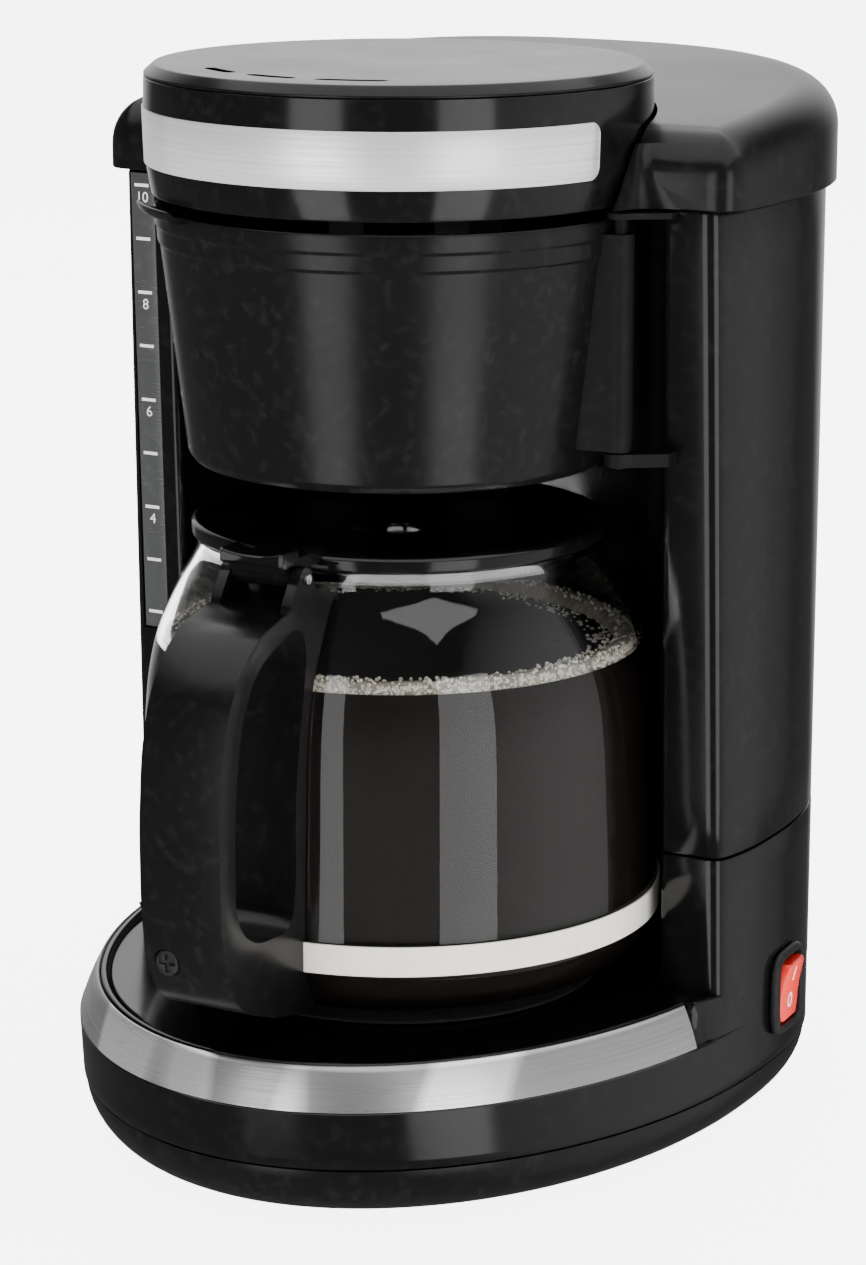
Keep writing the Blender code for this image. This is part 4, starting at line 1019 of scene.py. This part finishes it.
def make_carafe():
    outer = smooth_line(GLASS_OUTER)
    inner = inward(outer, GLASS_WALL)
    lip = [(outer[0][0] - 0.25, outer[0][1] + 0.45), (outer[0][0] - 1.0, outer[0][1] + 0.65),
           (inner[0][0] + 0.25, outer[0][1] + 0.45)]
    profile = [(0, 53.4)] + inner[::-1] + lip[::-1] + outer + [(0, 51.2)]
    jug = turned("glass_jug", profile, MATERIALS["glass"], 200, ring=False, angle=60)
    settle(jug, "carafe", "glass", "carafe_glass")
    strap = soften([(74.75, 74.6), (74.75, 66.1), (74.0, 66.1), (74.0, 74.6)], 0.3, 2)
    # The steel strap wears the pale cream of painted reflection.
    settle(turned("jug_strap", strap, STRAP_PAINTED_REFLECTION, 200), "carafe", "steel", "carafe_band")
    make_coffee(outer)
    make_foam()
    make_handle()
    make_jug_lid()


def make_coffee(outer):
    side = [p for p in inward(outer, WET_WALL) if p[1] < COFFEE_TOP - 0.6]
    top_radius = glass_radius(COFFEE_TOP, WET_WALL)
    surface = [(0, COFFEE_TOP - 0.7), (top_radius - 3.0, COFFEE_TOP - 0.6),
               (top_radius - 0.8, COFFEE_TOP - 0.2), (top_radius, COFFEE_TOP + 0.3)]
    profile = surface + side + [(0, 53.2)]
    coffee = turned("coffee", profile, COFFEE, 160, ring=False, angle=60)
    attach(coffee, "carafe")


def make_foam():
    """Thick ring of fine bubbles against the glass, with loose rafts farther in."""
    draw = random.Random(7)
    steps = 240
    levels = [(141.6, 0.25, 1.2), (142.6, 0.2, 0.4), (143.6, 0.2, 0.2), (144.6, 0.2, 0.3), (145.6, 0.25, 0.5),
              (146.2, 0.6, 0.7), (146.3, 1.5, 0.9), (145.6, 3.0, 1.0), (144.2, 4.6, 1.0), (143.0, 6.2, 0.8),
              (142.2, 6.6, 0.2)]
    rings = []
    for k in range(steps):
        a = 2 * math.pi * k / steps
        swell = 0.35 * math.sin(3 * a + 1.0) + 0.25 * math.sin(7 * a) + 0.15 * math.sin(19 * a + 2.0)
        ring = []
        for z, depth, play in levels:
            level = z + play * (swell + draw.uniform(-0.25, 0.25))
            rough = 0.3 * play * draw.random() if depth > 0.3 else 0.0
            r = glass_radius(level, WET_WALL) - depth - 0.55 - rough
            ring.append((r * math.cos(a), r * math.sin(a), level))
        rings.append(ring)
    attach(skin("foam_ring", rings, WET_FOAM, loop=True, angle=80), "carafe")
    bm = bmesh.new()
    for _ in range(RING_BUBBLES):
        size = draw.uniform(0.28, 0.75)
        a = draw.uniform(0, 2 * math.pi)
        z = 141.5 + draw.random() * (FOAM_TOP - 142.0)
        wave = 0.35 * math.sin(3 * a + 1.0) + 0.25 * math.sin(7 * a)
        r = glass_radius(z, WET_WALL) - size - abs(draw.gauss(0.0, 0.4))
        if z > 145.2:
            r -= 4.5 * draw.random() ** 2
        add_bubble(bm, r * math.cos(a), r * math.sin(a), z + wave * 0.4, size, draw)
    for _ in range(LOOSE_BUBBLES):
        size = draw.uniform(0.3, 0.7)
        a = draw.uniform(0, 2 * math.pi)
        r = glass_radius(COFFEE_TOP) - 5.0 - 9.0 * draw.random() ** 2.2
        add_bubble(bm, r * math.cos(a), r * math.sin(a), COFFEE_TOP - 0.5, size, draw)
    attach(collect("foam_bubbles", bm, FOAM, 80), "carafe")


def add_bubble(bm, x, y, z, size, draw):
    turn = Matrix.Rotation(draw.uniform(0, 6.28), 4, "Z")
    bmesh.ops.create_icosphere(bm, subdivisions=1, radius=size * MM,
                               matrix=Matrix.Translation(world((x, y, z))) @ turn)


def handle_outline():
    outer = [(60.0, 170.5), (72.0, 168.4), (84.0, 166.6), (97.0, 162.0), (106.5, 152.5), (112.0, 139.0),
             (114.4, 122.0), (115.0, 104.0), (114.2, 87.0), (111.4, 74.0), (105.0, 65.0), (95.0, 60.0),
             (84.0, 56.6), (74.0, 55.6), (66.0, 57.0), (64.0, 70.0), (63.0, 110.0), (58.0, 150.0)]
    gap = [(74.5, 161.5), (84.5, 160.0), (94.5, 155.4), (101.2, 147.0), (105.2, 134.0), (107.2, 118.0),
           (107.6, 103.0), (106.0, 89.0), (100.0, 82.6), (90.0, 80.4), (81.0, 81.6), (78.0, 90.0),
           (77.4, 108.0), (75.6, 128.0), (72.0, 148.0), (71.4, 156.0)]
    return outer, gap


def make_handle():
    curve = bpy.data.curves.new("outline", "CURVE")
    curve.dimensions = "2D"
    curve.fill_mode = "BOTH"
    curve.extrude = 12.5 * MM
    curve.resolution_u = 8
    for outline in handle_outline():
        spline = curve.splines.new("BEZIER")
        spline.bezier_points.add(len(outline) - 1)
        spline.use_cyclic_u = True
        for target, (reach, z) in zip(spline.bezier_points, outline):
            target.co = (reach * MM, z * MM, 0.0)
            target.handle_left_type = "AUTO"
            target.handle_right_type = "AUTO"
    flat = bpy.data.objects.new("outline", curve)
    bpy.context.scene.collection.objects.link(flat)
    bpy.context.view_layer.update()
    mesh = bpy.data.meshes.new_from_object(flat.evaluated_get(bpy.context.evaluated_depsgraph_get()))
    bpy.data.objects.remove(flat, do_unlink=True)
    upright = Matrix(((0, 0, 1, 0), (-1, 0, 0, BREW_Y * MM), (0, 1, 0, 0), (0, 0, 0, 1)))
    mesh.transform(upright)
    bm = bmesh.new()
    bm.from_mesh(mesh)
    bpy.data.meshes.remove(mesh)
    handle = collect("jug_handle", bm, MATERIALS["satin_black"])
    round_edges(handle, 2.4, 5)
    for side in (-1, 1):
        join(handle, ear(side))
    room = [(r + 0.35, z) for r, z in smooth_line(GLASS_OUTER)]
    cut(handle, turned("jug_room", [(0, 200)] + room + [(0, 49)], None, ring=False))
    cut(handle, turned("strap_room", [(0, 75.3), (75.2, 75.3), (75.2, 65.6), (0, 65.6)], None, ring=False))
    y, z = JUG_LID_AXIS
    cut(handle, rod("ear_hole", (-20, y, z), (20, y, z), 1.6))
    cut(handle, rod("screw_seat", (-6, -130, 77.3), (-6, -110.2, 77.3), 3.9))
    apply_modifiers(handle, 30)
    settle(handle, "carafe", "satin_black", "carafe_handle")
    screw = rod("grip_screw", (-6, -112.9, 77.3), (-6, -110.6, 77.3), 3.5, MATERIALS["matt_black"])
    slot_a = block("slot", (-8.4, -114.2, 76.8), (-3.6, -112.1, 77.8))
    slot_b = block("slot", (-6.5, -114.2, 74.9), (-5.5, -112.1, 79.7))
    cut(screw, slot_a)
    cut(screw, slot_b)
    round_edges(screw, 0.25, 2)
    settle(screw, "carafe", "steel", "handle_screw")


def ear(side):
    y_axis, z_axis = JUG_LID_AXIS
    shape = [(-62.0, 166.0), (-80.0, 164.5), (-79.0, 168.5), (-75.2, 174.2)]
    for degrees in range(10, 171, 16):
        a = math.radians(degrees)
        shape.append((y_axis - 3.2 * math.cos(a), z_axis + 3.2 * math.sin(a)))
    shape.append((-65.0, 170.0))
    shape = soften(shape, 0.6, 2)
    return skin("ear", [[(x, y, z) for y, z in shape] for x in (side * 9.4, side * 12.4)], None)


def make_jug_lid():
    dish = [(55.6, 178.2), (57.4, 178.2), (58.5, 177.2), (58.5, 174.3), (57.9, 173.75), (54.2, 173.75),
            (54.0, 170.2), (52.6, 170.2), (52.4, 172.4), (8.0, 172.4), (8.0, 170.6), (6.4, 170.6),
            (6.4, 173.9), (14.0, 174.9), (40.0, 174.6), (51.0, 174.9), (53.0, 175.8), (54.6, 177.6)]
    lid = turned("jug_lid", dish, MATERIALS["gloss_black"], 200, 0.5)
    rows = []
    half = 9.8
    for k in range(25):
        x = -half + 2 * half * k / 24
        share = abs(x) / half
        depth = 3.6 + 1.4 * share ** 2 - (1.0 if share > 0.97 else 0.0)
        top = 181.2 + 1.7 * share ** 2.4 - (0.5 if share > 0.97 else 0.0)
        rows.append(tab_section(x, depth, top))
    y, z = JUG_LID_AXIS
    join(lid, skin("tab", rows, None))
    join(lid, block("arm", (-8.6, -76, 176.4), (8.6, -55.6, 179.6)))
    join(lid, rod("barrel", (-8.9, y, z), (8.9, y, z), 3.0))
    join(lid, block("spout", (-9, 50, 174.4), (9, 57.5, 176.6)))
    cut(lid, rod("tab_hole", (-20, y, z), (20, y, z), 1.6))
    apply_modifiers(lid, 34)
    settle(lid, "carafe_lid_body", "satin_black", "carafe_lid")


def tab_section(x, depth, top):
    middle = -74.4
    low = 178.4
    front = middle - depth
    back = middle + depth
    shape = soften([(back, low), (front, low), (front, top), (back, top)], 1.3, 4)
    return [(x, y, z) for y, z in shape]


# ---------------------------------------------------------------- studio

CAMERA_PLACE = (524.15, -907.86, 405.14)
CAMERA_AIM = (-0.47753, 0.84455, -0.24230)
CAMERA_LENS = 108.4
FLOOR_GLOW = 6.0
EVEN_LIGHT = 0.09
BOX_DISTANCE = 1.5


def area_light(name, place, target, width, height, power):
    light = bpy.data.lights.new(name, "AREA")
    light.shape = "RECTANGLE"
    light.size = width
    light.size_y = height
    light.energy = power
    obj = bpy.data.objects.new(name, light)
    obj.location = place
    obj.rotation_mode = "QUATERNION"
    obj.rotation_quaternion = (Vector(target) - Vector(place)).to_track_quat("-Z", "Y")
    bpy.context.scene.collection.objects.link(obj)
    return obj


def round_object(azimuth, distance, height):
    a = math.radians(azimuth)
    return (distance * math.sin(a), -distance * math.cos(a), height)


def make_surroundings():
    """Dim even room with a soft glow behind the machine and another beyond its right side."""
    world_data = bpy.data.worlds.new("studio")
    world_data.use_nodes = True
    tree = world_data.node_tree
    background = tree.nodes["Background"]
    background.inputs["Color"].default_value = (1.0, 1.0, 1.0, 1.0)
    coords = add_node(tree, "ShaderNodeTexCoord")
    strength = None
    glows = [((-0.46, 0.83, 0.31), 0.75, 1.5), ((0.95, 0.28, -0.1), 0.55, 0.8)]
    for direction, from_cosine, glow in glows:
        facing = add_node(tree, "ShaderNodeVectorMath", operation="DOT_PRODUCT")
        facing.inputs[1].default_value = direction
        tree.links.new(coords.outputs["Generated"], facing.inputs[0])
        lit = ranged(tree, facing.outputs["Value"], 0.0, glow, from_cosine, 1.0)
        strength = summed(tree, lit, strength, 1.0) if strength else lit
    even = add_node(tree, "ShaderNodeMath", operation="ADD")
    even.inputs[1].default_value = EVEN_LIGHT
    tree.links.new(strength, even.inputs[0])
    tree.links.new(even.outputs[0], background.inputs["Strength"])
    bpy.context.scene.world = world_data


def make_studio():
    floor_material, tree, bsdf = new_material("pale_floor")
    shade = ranged(tree, noise_of(tree, 3.0, 4.0), 0.0, 1.0)
    tree.links.new(mixed_colour(tree, shade, grey(0.86), grey(0.84)), bsdf.inputs["Base Color"])
    tree.links.new(mixed_colour(tree, shade, grey(1.0), grey(0.97)), bsdf.inputs["Emission Color"])
    bsdf.inputs["Emission Strength"].default_value = FLOOR_GLOW
    bsdf.inputs["Roughness"].default_value = 0.9
    bsdf.inputs["Specular IOR Level"].default_value = 0.1
    bm = bmesh.new()
    bmesh.ops.create_grid(bm, x_segments=2, y_segments=2, size=12.0)
    mesh = bpy.data.meshes.new("floor")
    bm.to_mesh(mesh)
    bm.free()
    mesh.materials.append(floor_material)
    floor = bpy.data.objects.new("floor", mesh)
    floor.visible_glossy = False
    bpy.context.scene.collection.objects.link(floor)

    make_surroundings()
    middle = (0.0, 0.0, 0.14)
    area_light("top_light", (0.2, 0.2, 2.4), (0.2, 0.2, 0.0), 4.5, 4.5, 120.0)
    area_light("front_box", round_object(-6.0, BOX_DISTANCE, 0.05), middle, 0.62, 1.7, 9.0)
    area_light("side_box", round_object(59.0, BOX_DISTANCE, 0.05), middle, 0.66, 1.7, 9.0)


def make_camera():
    camera = bpy.data.cameras.new("camera")
    camera.lens = CAMERA_LENS
    camera.sensor_width = 36.0
    obj = bpy.data.objects.new("camera", camera)
    obj.location = world(CAMERA_PLACE)
    obj.rotation_mode = "QUATERNION"
    obj.rotation_quaternion = Vector(CAMERA_AIM).to_track_quat("-Z", "Y")
    bpy.context.scene.collection.objects.link(obj)
    bpy.context.scene.camera = obj


dress_cad_nodes()
make_bottom_cover()
make_base_housing()
make_base_band()
make_hot_plate()
make_switch()
make_tower()
make_gauge()
make_top_cover()
make_head()
make_basket()
make_carafe()
make_studio()
make_camera()
